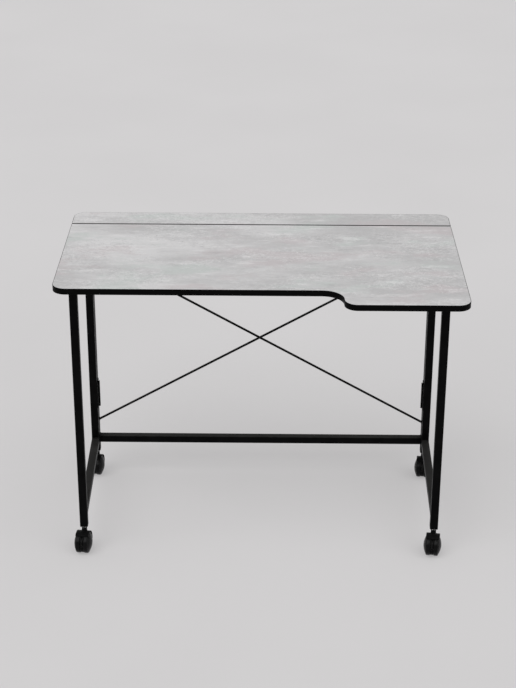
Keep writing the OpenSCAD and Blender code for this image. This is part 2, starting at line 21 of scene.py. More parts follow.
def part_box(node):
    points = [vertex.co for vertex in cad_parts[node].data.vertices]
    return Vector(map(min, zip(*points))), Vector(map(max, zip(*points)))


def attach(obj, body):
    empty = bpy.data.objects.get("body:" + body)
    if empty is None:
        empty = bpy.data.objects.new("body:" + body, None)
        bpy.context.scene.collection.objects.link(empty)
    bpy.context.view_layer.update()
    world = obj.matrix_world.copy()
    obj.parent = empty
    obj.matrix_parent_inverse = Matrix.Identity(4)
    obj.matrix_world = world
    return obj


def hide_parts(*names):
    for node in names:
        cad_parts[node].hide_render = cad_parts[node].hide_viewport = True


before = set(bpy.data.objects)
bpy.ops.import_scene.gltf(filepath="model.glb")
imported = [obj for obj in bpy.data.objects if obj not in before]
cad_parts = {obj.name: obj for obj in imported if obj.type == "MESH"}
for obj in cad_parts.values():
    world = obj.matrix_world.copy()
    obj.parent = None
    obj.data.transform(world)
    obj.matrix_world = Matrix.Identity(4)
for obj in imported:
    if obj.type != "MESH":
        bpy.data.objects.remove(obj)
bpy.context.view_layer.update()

LOG = logging.getLogger("table")
MM = 0.001
MERGE = 0.002
SHARP_DEG = 35.0
REAR, TOP = "rear_frame", "main_top"
CORNERS = ("front_left", "front_right", "rear_left", "rear_right")

Colour = tuple[float, float, float, float]
Point = tuple[float, float]
Ring = list[Vector]
Mark = tuple[Vector, Vector, Vector]
Mesh = bpy.types.Mesh
Node = bpy.types.Node
NodeSocket = bpy.types.NodeSocket


class Side(Enum):
    """A side of the table, seen from the front."""

    LEFT = -1
    RIGHT = 1

    @property
    def word(self) -> str:
        """The side's word in node and body names."""
        return self.name.lower()

    @property
    def body(self) -> str:
        """The body of the side's frame."""
        return f"{self.word}_side_frame"


class Slot(Enum):
    """Material slots of the record."""

    LAMINATE = "laminate"
    EDGING = "edging"
    FRAME = "frame"
    HINGE = "hinge"
    BLACK_SCREW = "black_screw"
    ZINC = "zinc"
    PLUG = "plug"
    HOOD = "castor_hood"
    WHEEL = "wheel"


class Kind(Enum):
    """Kinds of socket that a node group takes in or puts out."""

    FLOAT = "NodeSocketFloat"
    INT = "NodeSocketInt"
    VECTOR = "NodeSocketVector"
    OBJECT = "NodeSocketObject"
    MATERIAL = "NodeSocketMaterial"
    GEOMETRY = "NodeSocketGeometry"


# Node trees


@dataclass
class Graph:
    """A node tree under construction, with short calls for its nodes and links."""

    tree: bpy.types.NodeTree

    def declare(self, label: str, kind: Kind, way: str = "INPUT") -> bpy.types.NodeTreeInterfaceSocket:
        """Adds a named input or output to the tree."""
        return self.tree.interface.new_socket(label, in_out=way, socket_type=kind.value)

    def put(self, target: NodeSocket, value: object) -> None:
        """Links an input to a socket, or sets the input's own value.

        Args:
            target: The input.
            value: The socket or the plain value.
        """
        if isinstance(value, NodeSocket):
            self.tree.links.new(value, target)
        else:
            target.default_value = value

    def node(self, kind: str, settings: dict[str, object] | None = None, **values: object) -> Node:
        """Adds a node.

        Args:
            kind: Blender's name of the node type.
            settings: Properties of the node.
            values: Its inputs by name, with underscores for spaces: sockets or plain values.

        Returns:
            The new node.
        """
        made = self.tree.nodes.new(kind)
        for key, value in (settings or {}).items():
            setattr(made, key, value)
        for label, value in values.items():
            self.put(next(s for s in made.inputs if s.enabled and s.name == label.replace("_", " ")), value)
        return made

    def math(self, operation: str, *values: object, clamp: bool = False) -> NodeSocket:
        """Adds a Math node.

        Args:
            operation: The node's operation.
            values: Its inputs, sockets or numbers.
            clamp: Whether the result is kept from 0 to 1.

        Returns:
            The output socket.
        """
        made = self.node("ShaderNodeMath", {"operation": operation, "use_clamp": clamp})
        for target, value in zip(made.inputs, values):
            self.put(target, value)
        return made.outputs[0]

    def times(self, first: object, second: object) -> NodeSocket:
        """The product of two values."""
        return self.math("MULTIPLY", first, second)

    def mix(self, share: object, first: object, second: object, kind: str = "RGBA") -> NodeSocket:
        """Mixes a share of the second colour into the first, or of numbers where the kind is FLOAT."""
        made = self.node("ShaderNodeMix", {"data_type": kind}, Factor=share, A=first, B=second)
        return next(s for s in made.outputs if s.enabled)

    def spread(
        self, value: object, low: object, high: object, to_low: float = 0.0, to_high: float = 1.0
    ) -> NodeSocket:
        """Maps a value from one range to another, smoothly, and keeps it inside."""
        ranges = {"From_Min": low, "From_Max": high, "To_Min": to_low, "To_Max": to_high}
        return self.node(
            "ShaderNodeMapRange", {"interpolation_type": "SMOOTHSTEP"}, Value=value, **ranges
        ).outputs[0]

    def noise(self, place: object, scale: object, detail: float = 2, rough: float = 0.5) -> NodeSocket:
        """Noise at a place, with its scale per metre, its octaves and how strong the fine ones are."""
        made = self.node("ShaderNodeTexNoise", Vector=place, Scale=scale, Detail=detail, Roughness=rough)
        return made.outputs["Fac"]

    def place(self) -> NodeSocket:
        """The object's own coordinates, in metres."""
        return self.node("ShaderNodeTexCoord").outputs["Object"]

    def mapped(
        self, place: object, scale: Sequence[float] = (1, 1, 1), shift: Sequence[float] = (0, 0, 0)
    ) -> NodeSocket:
        """A place that is scaled by axis and shifted."""
        return self.node("ShaderNodeMapping", Vector=place, Scale=scale, Location=shift).outputs[0]

    def effect(self, tree: bpy.types.NodeTree, place: object, **values: object) -> bpy.types.NodeOutputs:
        """Places a shared effect and gives its outputs."""
        return self.node("ShaderNodeGroup", {"node_tree": tree}, Place=place, **values).outputs


# Effects that several finishes share


def shader_group(
    name: str, outputs: Sequence[str], **numbers: float
) -> tuple[Graph, dict[str, NodeSocket], Node]:
    """Starts a shader node group that reads a place.

    Args:
        name: The group's name.
        outputs: Names of the numbers that it puts out.
        numbers: Its inputs besides the place, with underscores for spaces, and their defaults.

    Returns:
        The graph, its input sockets by name, and the output node.
    """
    graph = Graph(bpy.data.node_groups.new(name, "ShaderNodeTree"))
    graph.declare("Place", Kind.VECTOR)
    for label, default in numbers.items():
        graph.declare(label.replace("_", " "), Kind.FLOAT).default_value = default
    for label in outputs:
        graph.declare(label, Kind.FLOAT, "OUTPUT")
    given = {socket.name: socket for socket in graph.node("NodeGroupInput").outputs if socket.name}
    return graph, given, graph.node("NodeGroupOutput")


@cache
def settled_dust() -> bpy.types.NodeTree:
    """Builds dust on faces that look up, in soft patches; a large amount of it is painted light on those
    faces.

    Returns:
        The group, which puts out a mask.
    """
    graph, given, end = shader_group("settled dust", ["Mask"], Amount=0.1, Patch_scale=40.0)
    up = graph.node("ShaderNodeSeparateXYZ", Vector=graph.node("ShaderNodeNewGeometry").outputs["Normal"])
    facing = graph.spread(up.outputs["Z"], 0.2, 0.95)
    patches = graph.spread(graph.noise(given["Place"], given["Patch scale"], 5, 0.6), 0.25, 0.75, 0.6, 1.0)
    grains = graph.spread(graph.noise(given["Place"], 1900.0), 0.45, 0.7)
    top_dust_and_light = graph.times(graph.mix(0.3, patches, grains, "FLOAT"), facing)
    graph.put(end.inputs["Mask"], graph.math("MULTIPLY", top_dust_and_light, given["Amount"], clamp=True))
    return graph.tree


@cache
def worn_edges() -> bpy.types.NodeTree:
    """Builds wear along the edges that a mesh marks with its edge attribute.

    Returns:
        The group, which puts out a mask.
    """
    graph, given, end = shader_group("worn edges", ["Mask"], Amount=0.5, Break_scale=120.0)
    edge = graph.node("ShaderNodeAttribute", {"attribute_name": "edge"}).outputs["Fac"]
    breaks = graph.spread(graph.noise(given["Place"], given["Break scale"], 6, 0.65), 0.46, 0.66)
    graph.put(
        end.inputs["Mask"], graph.math("MULTIPLY", graph.times(edge, breaks), given["Amount"], clamp=True)
    )
    return graph.tree


@cache
def fine_grain() -> bpy.types.NodeTree:
    """Builds a fine surface grain in two sizes.

    Returns:
        The group, which puts out a height and a slow variation.
    """
    graph, given, end = shader_group("fine grain", ["Height", "Variation"], Scale=900.0, Coarse_share=0.35)
    place, scale = given["Place"], given["Scale"]
    fine, coarse = graph.noise(place, scale), graph.noise(place, graph.times(scale, 0.21))
    graph.put(end.inputs["Height"], graph.mix(given["Coarse share"], fine, coarse, "FLOAT"))
    graph.put(end.inputs["Variation"], graph.noise(place, graph.times(scale, 0.02), 4, 0.6))
    return graph.tree


# Finishes


@dataclass(frozen=True)
class Finish:
    """A finish of the table. Each kind has a pattern of its own."""

    name: str
    slot: Slot | None = None
    relief: float = 0.06
    relief_strength: float = 1.0

    def plain(self) -> dict[str, object]:
        """Values of the shader that are the same all over."""
        return {}

    def pattern(self, graph: Graph) -> tuple[NodeSocket, NodeSocket, NodeSocket]:
        """The pattern's colour, roughness and height."""
        raise NotImplementedError

    def material(self) -> bpy.types.Material:
        """Makes the material, or finds it if it is made already.

        Returns:
            The material.
        """
        found = bpy.data.materials.get(self.name)
        if not found:
            found = bpy.data.materials.new(self.name)
            found.use_nodes = True
            graph, shader = Graph(found.node_tree), found.node_tree.nodes["Principled BSDF"]
            colour, rough, height = self.pattern(graph)
            bump = graph.node(
                "ShaderNodeBump", Strength=self.relief_strength, Distance=self.relief * MM, Height=height
            )
            linked = {"Base Color": colour, "Roughness": rough, "Normal": bump.outputs[0]}
            for label, value in {**linked, **self.plain()}.items():
                graph.put(shader.inputs[label], value)
        return found


@dataclass(frozen=True)
class Coated(Finish):
    """Black powder coat on steel, or moulded black plastic: a fine grain, soft dust on faces that look up,
    which is painted top light where there is much of it, and worn edges.
    """

    dark: Colour = (0.0012, 0.0012, 0.0013, 1)
    light: Colour = (0.0028, 0.0028, 0.0029, 1)
    worn: Colour = (0.022, 0.022, 0.022, 1)
    # Colour of dust on faces that look up, which is also painted light on those faces
    dust: Colour = (0.13, 0.127, 0.122, 1)
    ior: float = 1.12
    rough: Point = (0.34, 0.46)
    grain_scale: float = 1500.0
    grain_coarse: float = 0.3
    wear: float = 0.35
    wear_scale: float = 90.0
    dust_amount: float = 0.03
    dust_scale: float = 30.0

    def plain(self) -> dict[str, object]:
        """Values of the shader that are the same all over."""
        return {"IOR": self.ior}

    def marks(self, graph: Graph, place: NodeSocket, dust: NodeSocket) -> tuple[object, object, object]:
        """How much wear colours the surface, how much dust and painted top light dull it, and what raises it.
        """
        worn = graph.effect(worn_edges(), place, Amount=self.wear, Break_scale=self.wear_scale)
        return worn["Mask"], graph.times(dust, 0.6), None

    def pattern(self, graph: Graph) -> tuple[NodeSocket, NodeSocket, NodeSocket]:
        """Adds the coat's nodes.

        Args:
            graph: The material's graph.

        Returns:
            Colour, roughness and height.
        """
        place = graph.place()
        grain = graph.effect(fine_grain(), place, Scale=self.grain_scale, Coarse_share=self.grain_coarse)
        # Dust on faces that look up, which is also painted top light
        top_dust_and_light = graph.effect(settled_dust(), place, Amount=self.dust_amount, Patch_scale=self.dust_scale)
        dust = top_dust_and_light["Mask"]
        share, dulled, raised = self.marks(graph, place, dust)
        varied = graph.mix(graph.spread(grain["Variation"], 0.3, 0.7), self.dark, self.light)
        colour = graph.mix(dust, graph.mix(share, varied, self.worn), self.dust)
        rough = graph.math("ADD", graph.spread(grain["Variation"], 0.3, 0.7, *self.rough), dulled, clamp=True)
        height = grain["Height"] if raised is None else graph.math("ADD", grain["Height"], raised)
        return colour, rough, height


@dataclass(frozen=True)
class Tread(Coated):
    """Black nylon wheel with fine turning lines and scuffs round its tread."""

    worn: Colour = (0.007, 0.007, 0.0068, 1)
    dust_scale: float = 60.0
    line_scale: float = 900.0

    def marks(self, graph: Graph, place: NodeSocket, dust: NodeSocket) -> tuple[object, object, object]:
        """How much scuffs colour, dull and raise the surface.

        Args:
            graph: The material's graph.
            place: The object's coordinates.
            dust: The mask of dust and painted top light.

        Returns:
            The three shares.
        """
        tread = graph.node("ShaderNodeAttribute", {"attribute_name": "edge"}).outputs["Fac"]
        lines = graph.noise(graph.mapped(place, (1.0, 0.04, 0.04)), self.line_scale, 3, 0.6)
        scuffs = graph.times(tread, graph.spread(lines, 0.5, 0.72))
        return tuple(graph.times(scuffs, share) for share in (0.7, 0.18, 0.5))


@dataclass(frozen=True)
class EdgeBand(Finish):
    """Black plastic edge band with faint lines along it from its extrusion."""

    dark: Colour = (0.0010, 0.0010, 0.0010, 1)
    light: Colour = (0.003, 0.003, 0.003, 1)
    worn: Colour = (0.02, 0.02, 0.02, 1)
    ior: float = 1.1

    def plain(self) -> dict[str, object]:
        """Values of the shader that are the same all over."""
        return {"IOR": self.ior}

    def pattern(self, graph: Graph) -> tuple[NodeSocket, NodeSocket, NodeSocket]:
        """Adds the band's nodes.

        Args:
            graph: The material's graph.

        Returns:
            Colour, roughness and height.
        """
        place = graph.place()
        lines = graph.noise(graph.mapped(place, (0.02, 0.02, 1.0)), 1400.0, 4, 0.6)
        grain = graph.effect(fine_grain(), place, Scale=1200.0, Coarse_share=0.4)["Height"]
        wear = graph.effect(worn_edges(), place, Amount=0.3, Break_scale=60.0)["Mask"]
        varied = graph.mix(graph.spread(lines, 0.35, 0.65), self.dark, self.light)
        colour = graph.mix(wear, varied, self.worn)
        return colour, graph.spread(lines, 0.3, 0.7, 0.36, 0.5), graph.mix(0.4, lines, grain, "FLOAT")


@dataclass(frozen=True)
class Zinc(Finish):
    """Bright zinc plating, a little cloudy, with fine scratches."""

    bright: Colour = (0.90, 0.90, 0.885, 1)
    dull: Colour = (0.70, 0.705, 0.71, 1)

    def plain(self) -> dict[str, object]:
        """Values of the shader that are the same all over."""
        return {"Metallic": 1.0}

    def pattern(self, graph: Graph) -> tuple[NodeSocket, NodeSocket, NodeSocket]:
        """Adds the plating's nodes.

        Args:
            graph: The material's graph.

        Returns:
            Colour, roughness and height.
        """
        place = graph.place()
        clouds = graph.noise(place, 260.0, 5, 0.6)
        scratches = graph.noise(graph.mapped(place, (1.0, 1.0, 0.06)), 2600.0)
        colour = graph.mix(graph.spread(clouds, 0.35, 0.65), self.bright, self.dull)
        return colour, graph.spread(clouds, 0.3, 0.7, 0.24, 0.42), scratches


@dataclass(frozen=True)
class ConcreteLaminate(Finish):
    """Matt laminate printed like trowelled concrete: long soft clouds, faint tints, scrapes and fine pits,
    with painted shade that darkens it towards the right.
    """

    pale: Colour = (0.622, 0.614, 0.618, 1)
    grey: Colour = (0.470, 0.464, 0.467, 1)
    rosy: Colour = (0.510, 0.462, 0.472, 1)
    greenish: Colour = (0.505, 0.535, 0.520, 1)
    scrape: Colour = (0.76, 0.752, 0.755, 1)
    pit: Colour = (0.30, 0.292, 0.296, 1)
    cloud_scale: float = 5.0
    streak_scale: float = 24.0
    vein_scale: float = 55.0
    speckle_scale: float = 210.0
    tint_shift: tuple[float, float, float] = (3.1, 1.7, 0.4)
    # Painted shade: from the first to the second x, in metres, the top darkens towards the right, at most by
    # the share below
    drift_m: Point = (-0.1, 0.45)
    drift_right: float = 0.62

    def pattern(self, graph: Graph) -> tuple[NodeSocket, NodeSocket, NodeSocket]:
        """Adds the print's nodes.

        Args:
            graph: The material's graph.

        Returns:
            Colour, roughness and height.
        """
        place = graph.place()
        long = graph.mapped(place, (0.55, 1.25, 1.0))
        clouds = graph.noise(long, self.cloud_scale, 6, 0.62)
        streaks = graph.noise(graph.mapped(place, (0.45, 1.5, 1.0)), self.streak_scale, 8, 0.7)
        tints = graph.noise(graph.mapped(long, shift=self.tint_shift), self.cloud_scale * 1.6, 5, 0.6)
        drift = graph.noise(graph.mapped(place, (0.7, 1.3, 1.0)), self.vein_scale, 6, 0.68)
        veins = graph.spread(graph.math("ABSOLUTE", graph.math("SUBTRACT", drift, 0.5)), 0.035, 0.0)
        speckle = graph.noise(graph.mapped(place, (0.75, 1.1, 1.0)), self.speckle_scale, 6, 0.7)
        patch = graph.spread(graph.noise(long, self.cloud_scale * 2.2, 4, 0.6), 0.44, 0.60, 0.22, 1.0)
        across = graph.node("ShaderNodeSeparateXYZ", Vector=place).outputs["X"]
        # Painted shade: the top grows darker towards the right
        painted_shade = graph.spread(across, *self.drift_m, 0.0, self.drift_right)
        shade = graph.math("ADD", graph.spread(clouds, 0.38, 0.64), painted_shade, clamp=True)
        colour = graph.mix(shade, self.pale, self.grey)
        for value, low, high, share, mark in (
            (tints, 0.52, 0.64, 0.8, self.greenish), (tints, 0.46, 0.36, 0.62, self.rosy),
            (streaks, 0.53, 0.66, 0.4, self.scrape), (streaks, 0.46, 0.33, 0.3, self.pit),
        ):
            colour = graph.mix(graph.times(graph.spread(value, low, high), share), colour, mark)
        for value, share, mark in (
            (veins, 0.5, self.scrape), (graph.spread(speckle, 0.55, 0.66), 0.62, self.scrape),
            (graph.spread(speckle, 0.44, 0.33), 0.6, self.pit),
        ):
            colour = graph.mix(graph.times(value, graph.times(patch, share)), colour, mark)
        grain = graph.effect(fine_grain(), place, Scale=1300.0, Coarse_share=0.5)["Height"]
        return colour, graph.spread(streaks, 0.3, 0.7, 0.44, 0.6), graph.mix(0.3, speckle, grain, "FLOAT")


@dataclass(frozen=True)
class FloorFinish(Finish):
    """Pale, plain floor with the faintest unevenness."""

    low: Colour = (0.300, 0.294, 0.297, 1)
    high: Colour = (0.315, 0.309, 0.312, 1)
    glow: Colour = (1.0, 0.985, 0.988, 1)
    glow_strength: float = 0.325
    specular: float = 0.2

    def plain(self) -> dict[str, object]:
        """Values of the shader that are the same all over."""
        glow = {"Emission Color": self.glow, "Emission Strength": self.glow_strength}
        return {"Specular IOR Level": self.specular, **glow}

    def pattern(self, graph: Graph) -> tuple[NodeSocket, NodeSocket, NodeSocket]:
        """Adds the floor's nodes.

        Args:
            graph: The material's graph.

        Returns:
            Colour, roughness and height.
        """
        place = graph.place()
        soft = graph.noise(place, 1.2, 3)
        colour = graph.mix(graph.spread(soft, 0.3, 0.7), self.low, self.high)
        return colour, graph.spread(soft, 0.3, 0.7, 0.75, 0.85), graph.noise(place, 60.0, 3)


LAMINATE = ConcreteLaminate("concrete_laminate", Slot.LAMINATE, relief=0.08)
EDGE_BAND = EdgeBand("black_edge_band", Slot.EDGING, relief=0.05)
# Painted light: the frame's large dust amount lightens the tops of the tubes, where light falls from above;
# only a little of it is real dust
POWDER_COAT = Coated("black_powder_coat", Slot.FRAME, dust_amount=0.24)
HINGE_COAT = Coated("black_hinge_coat", Slot.HINGE, rough=(0.30, 0.42), wear=0.6, wear_scale=200.0)
SCREW_COAT = Coated("black_screw_coat", Slot.BLACK_SCREW, rough=(0.28, 0.4), wear=0.8, wear_scale=500.0)
ZINC = Zinc("zinc_plate", Slot.ZINC, relief=0.02)
NYLON = Coated(
    "black_nylon", Slot.HOOD, relief=0.035, worn=(0.05, 0.05, 0.049, 1), ior=1.13, rough=(0.32, 0.42),
    grain_scale=2600.0, grain_coarse=0.2, wear=0.8, wear_scale=900.0, dust_amount=0.025,
)
PLUG_PLASTIC = Coated(
    "black_plug_plastic", Slot.PLUG, relief=0.05, ior=1.15, rough=(0.42, 0.55), grain_scale=2200.0,
    grain_coarse=0.25, wear=0.3, wear_scale=300.0,
)
WHEEL_NYLON = Tread(
    "black_wheel_nylon", Slot.WHEEL, relief=0.02, ior=1.2, rough=(0.2, 0.28), grain_scale=2600.0,
    dust_amount=0.025
)
FLOOR = FloorFinish("pale_floor", relief=0.1, relief_strength=0.3)


# Meshes and objects


@dataclass
class Shape:
    """A mesh under construction, in metres. Its marks say from 0 to 1 how far a point is on a worn edge."""

    verts: list[Vector] = field(default_factory=list)
    faces: list[tuple[int, ...]] = field(default_factory=list)
    edge: list[float] = field(default_factory=list)

    def loft(
        self, rings: Sequence[Ring], marks: Sequence[float] | None = None, closed: bool = False
    ) -> "Shape":
        """Adds a skin through rings that have equally many points.

        Args:
            rings: The rings, in order.
            marks: The mark of each ring's points.
            closed: Whether the last ring joins the first. Otherwise both get a cap.

        Returns:
            This shape.
        """
        start, count, last = len(self.verts), len(rings[0]), len(rings) - 1
        for ring, mark in zip(rings, marks or [0.0] * len(rings)):
            self.verts += ring
            self.edge += [mark] * count
        for low in range(last + closed):
            high = (low + 1) % len(rings)
            for step in range(count):
                after = (step + 1) % count
                corners = (low * count + step, low * count + after, high * count + after, high * count + step)
                self.faces.append(tuple(start + corner for corner in corners))
        if not closed:
            self.faces.append(tuple(start + step for step in reversed(range(count))))
            self.faces.append(tuple(start + last * count + step for step in range(count)))
        return self

    def add(self, other: "Shape", matrix: Matrix | None = None) -> "Shape":
        """Adds another shape to this one.

        Args:
            other: The other shape.
            matrix: How it is placed.

        Returns:
            This shape.
        """
        start = len(self.verts)
        self.verts += [matrix @ vert if matrix else vert for vert in other.verts]
        self.faces += [tuple(start + corner for corner in face) for face in other.faces]
        self.edge += other.edge
        return self

    def take(self, mesh: Mesh) -> "Shape":
        """Adds a mesh, which is removed.

        Args:
            mesh: The mesh.

        Returns:
            This shape.
        """
        part = Shape(
            [vert.co.copy() for vert in mesh.vertices], [tuple(face.vertices) for face in mesh.polygons]
        )
        marks = mesh.attributes.get("edge")
        part.edge = [row.value for row in marks.data] if marks else [0.0] * len(part.verts)
        bpy.data.meshes.remove(mesh)
        return self.add(part)

    def mesh(self, name: str, sharp_deg: float = SHARP_DEG) -> Mesh:
        """Makes the mesh, tidied.

        Args:
            name: The mesh's name.
            sharp_deg: Angle past which an edge is shaded sharp.

        Returns:
            The mesh.
        """
        mesh = bpy.data.meshes.new(name)
        mesh.from_pydata([vert[:] for vert in self.verts], [], self.faces)
        mesh.attributes.new("edge", "FLOAT", "POINT").data.foreach_set("value", self.edge)
        return tidied(mesh, sharp_deg)


def tidied(mesh: Mesh, sharp_deg: float = SHARP_DEG) -> Mesh:
    """Merges doubles, drops empty faces, turns faces outwards and shades smooth.

    Args:
        mesh: The mesh.
        sharp_deg: Angle past which an edge is shaded sharp.

    Returns:
        The same mesh.
    """
    work = bmesh.new()
    work.from_mesh(mesh)
    bmesh.ops.remove_doubles(work, verts=work.verts, dist=MERGE * MM)
    bmesh.ops.dissolve_degenerate(work, edges=work.edges, dist=MERGE * MM)
    bmesh.ops.triangulate(work, faces=[face for face in work.faces if len(face.verts) > 4])
    bmesh.ops.recalc_face_normals(work, faces=work.faces)
    work.to_mesh(mesh)
    work.free()
    mesh.shade_smooth()
    mesh.set_sharp_from_angle(angle=math.radians(sharp_deg))
    return mesh


def add_object(name: str, data: bpy.types.ID | None) -> bpy.types.Object:
    """Puts a new object in the scene.

    Args:
        name: Its name.
        data: Its mesh, lamp or camera.

    Returns:
        The object.
    """
    made = bpy.data.objects.new(name, data)
    bpy.context.scene.collection.objects.link(made)
    return made


def drop(thing: bpy.types.Object) -> None:
    """Removes an object and its mesh.

    Args:
        thing: The object.
    """
    mesh = thing.data
    bpy.data.objects.remove(thing)
    bpy.data.meshes.remove(mesh)


def modified(mesh: Mesh, kind: str, inputs: dict[str, object] | None = None, **settings: object) -> Mesh:
    """Applies one modifier to a mesh.

    Args:
        mesh: The mesh, which is removed.
        kind: Blender's name of the modifier type.
        inputs: A node tool's inputs, by socket identifier.
        settings: Properties of the modifier.

    Returns:
        The new mesh, with no modifier left on it.
    """
    holder = add_object("holder", mesh)
    modifier = holder.modifiers.new("step", kind)
    for key, value in settings.items():
        setattr(modifier, key, value)
    for key, value in (inputs or {}).items():
        modifier[key] = value
    graph = bpy.context.evaluated_depsgraph_get()
    made = bpy.data.meshes.new_from_object(
        holder.evaluated_get(graph), preserve_all_data_layers=True, depsgraph=graph
    )
    holder.modifiers.remove(modifier)
    drop(holder)
    return made


def cut_away(solid: Shape, cutter: Shape) -> Mesh:
    """Cuts one closed shape out of another.

    Args:
        solid: The shape that is cut.
        cutter: The shape that is taken away.

    Returns:
        The mesh of what is left.
    """
    tool = add_object("cutter", cutter.mesh("cutter"))
    made = modified(solid.mesh("solid"), "BOOLEAN", operation="DIFFERENCE", solver="EXACT", object=tool)
    drop(tool)
    return tidied(made)


def finish_piece(
    mesh: Mesh, name: str, body: str, finish: Finish, nodes: Sequence[str] = (), turn: Matrix | None = None
) -> None:
    """Makes a piece of the table from a mesh.

    Args:
        mesh: The mesh, in place but for the turn.
        name: The piece's name.
        body: The body that it rides on.
        finish: Its finish.
        nodes: CAD nodes that it replaces.
        turn: How the mesh is turned where it stands, if at all.
    """
    if turn:
        mesh.transform(turn)
    piece = add_object(name, mesh)
    mesh.materials.clear()
    mesh.materials.append(finish.material())
    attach(piece, body)
    if nodes:
        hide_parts(*nodes)
    LOG.info("%s: %d faces on %s, for %s", name, len(mesh.polygons), body, ", ".join(nodes) or "no node")


def arc(
    centre: Point, radius: float, start: float, end: float, steps: int, rise: float | None = None
) -> list[Point]:
    """Points along an arc.

    Args:
        centre: The arc's centre.
        radius: Its radius.
        start: First angle in degrees.
        end: Last angle in degrees.
        steps: Number of steps.
        rise: Its upward radius, if that differs.

    Returns:
        The points.
    """
    turns = [math.radians(start + (end - start) * step / steps) for step in range(steps + 1)]
    tall = radius if rise is None else rise
    return [(centre[0] + radius * math.cos(turn), centre[1] + tall * math.sin(turn)) for turn in turns]


def around(count: int) -> list[float]:
    """Angles evenly round a circle, the first half a step on."""
    return [math.tau * (step + 0.5) / count for step in range(count)]


def circle_ring(radius: float, height: float, count: int) -> Ring:
    """A ring of points round the Z axis, in metres."""
    return [Vector((radius * math.cos(turn), radius * math.sin(turn), height)) * MM for turn in around(count)]


def turned(
    profile: Sequence[Point], count: int = 48, marks: Sequence[float] | None = None, closed: bool = False
) -> Shape:
    """A shape turned round the Z axis from radii and heights. A closed profile leaves a bore."""
    rings = [circle_ring(max(radius, 0.001), height, count) for radius, height in profile]
    return Shape().loft(rings, marks, closed)


def moved(x: float, y: float, z: float) -> Matrix:
    """A shift by millimetres, for meshes in metres."""
    return Matrix.Translation(Vector((x, y, z)) * MM)


def rotated(angle_deg: float, axis: str) -> Matrix:
    """A turn about one of the three axes."""
    return Matrix.Rotation(math.radians(angle_deg), 4, axis)


# Tools of geometry nodes


class GeometryTool(Graph):
    """A Geometry Nodes tree with named inputs, which turns one mesh into another."""

    inputs: ClassVar[dict[str, Kind]]

    def __init__(self, name: str) -> None:
        """Makes the tree and has the tool fill it in.

        Args:
            name: The tree's name.
        """
        super().__init__(bpy.data.node_groups.new(name, "GeometryNodeTree"))
        for label, kind in {"Geometry": Kind.GEOMETRY, **self.inputs, "Finish": Kind.MATERIAL}.items():
            self.declare(label, kind)
        self.declare("Geometry", Kind.GEOMETRY, "OUTPUT")
        self.start, end = self.node("NodeGroupInput"), self.node("NodeGroupOutput")
        realized = self.node("GeometryNodeRealizeInstances", Geometry=self.build())
        dressed = self.node(
            "GeometryNodeSetMaterial", Geometry=realized.outputs[0], Material=self.given("Finish")
        )
        self.put(end.inputs[0], dressed.outputs[0])

    def build(self) -> NodeSocket:
        """Fills in the tree and returns the geometry that it makes."""
        raise NotImplementedError

    def given(self, label: str) -> NodeSocket:
        """The socket of a named input."""
        return self.start.outputs[label]

    def random(self, low: object, high: object) -> NodeSocket:
        """A number for each point, drawn with the tree's seed."""
        made = self.node(
            "FunctionNodeRandomValue", {"data_type": "FLOAT"}, Min=low, Max=high, Seed=self.given("Seed")
        )
        return next(s for s in made.outputs if s.enabled)

    def run(self, source: Mesh, **values: object) -> Mesh:
        """Runs the tree on a mesh.

        Args:
            source: The mesh that goes in, which is removed.
            values: The tree's inputs by name, with underscores for spaces.

        Returns:
            The mesh that comes out.
        """
        rows = self.tree.interface.items_tree
        identifiers = {row.name.replace(" ", "_"): row.identifier for row in rows if row.in_out == "INPUT"}
        inputs = {identifiers[label]: value for label, value in values.items()}
        return tidied(modified(source, "NODES", inputs, node_group=self.tree))


class CopyTool(GeometryTool):
    """Puts copies of a small object, such as a screw or a hinge leaf, on marked points, aimed and spun."""

    inputs = {"Copy": Kind.OBJECT, "Spin": Kind.FLOAT, "Seed": Kind.INT}

    def build(self) -> NodeSocket:
        """Fills in the tree.

        Returns:
            The copies.
        """
        copy = self.node("GeometryNodeObjectInfo", {"transform_space": "ORIGINAL"}, Object=self.given("Copy"))
        aim, face = (
            self.node(
                "GeometryNodeInputNamedAttribute", {"data_type": "FLOAT_VECTOR"}, Name=name
            ).outputs["Attribute"]
            for name in ("aim", "face")
        )
        axes = {"primary_axis": "Z", "secondary_axis": "X"}
        turn = self.node("FunctionNodeAxesToRotation", axes, Primary_Axis=aim, Secondary_Axis=face)
        angle = self.random(self.times(self.given("Spin"), -1.0), self.given("Spin"))
        spin = self.node("FunctionNodeAxisAngleToRotation", Axis=(0.0, 0.0, 1.0), Angle=angle)
        both = self.node(
            "FunctionNodeRotateRotation", {"rotation_space": "LOCAL"}, Rotation=turn.outputs[0],
            Rotate_By=spin.outputs[0]
        )
        return self.node(
            "GeometryNodeInstanceOnPoints", Points=self.given("Geometry"), Instance=copy.outputs["Geometry"],
            Rotation=both.outputs[0],
        ).outputs[0]


class WeldTool(GeometryTool):
    """Lays overlapping beads of weld along a path."""

    inputs = {"Spacing": Kind.FLOAT, "Bead radius": Kind.FLOAT, "Unevenness": Kind.FLOAT, "Seed": Kind.INT}

    def build(self) -> NodeSocket:
        """Fills in the tree.

        Returns:
            The beads.
        """
        path = self.node("GeometryNodeMeshToCurve", Mesh=self.given("Geometry")).outputs[0]
        points = self.node(
            "GeometryNodeResampleCurve", {"mode": "LENGTH"}, Curve=path, Length=self.given("Spacing")
        )
        bead = self.node("GeometryNodeMeshUVSphere", Segments=8, Rings=6, Radius=self.given("Bead radius"))
        tangent = self.node("GeometryNodeInputTangent").outputs[0]
        turn = self.node("FunctionNodeAlignRotationToVector", {"axis": "Z"}, Vector=tangent)
        least, most = (self.math(way, 1.0, self.given("Unevenness")) for way in ("SUBTRACT", "ADD"))
        return self.node(
            "GeometryNodeInstanceOnPoints", Points=points.outputs[0], Instance=bead.outputs["Mesh"],
            Rotation=turn.outputs[0], Scale=self.random(least, most),
        ).outputs[0]


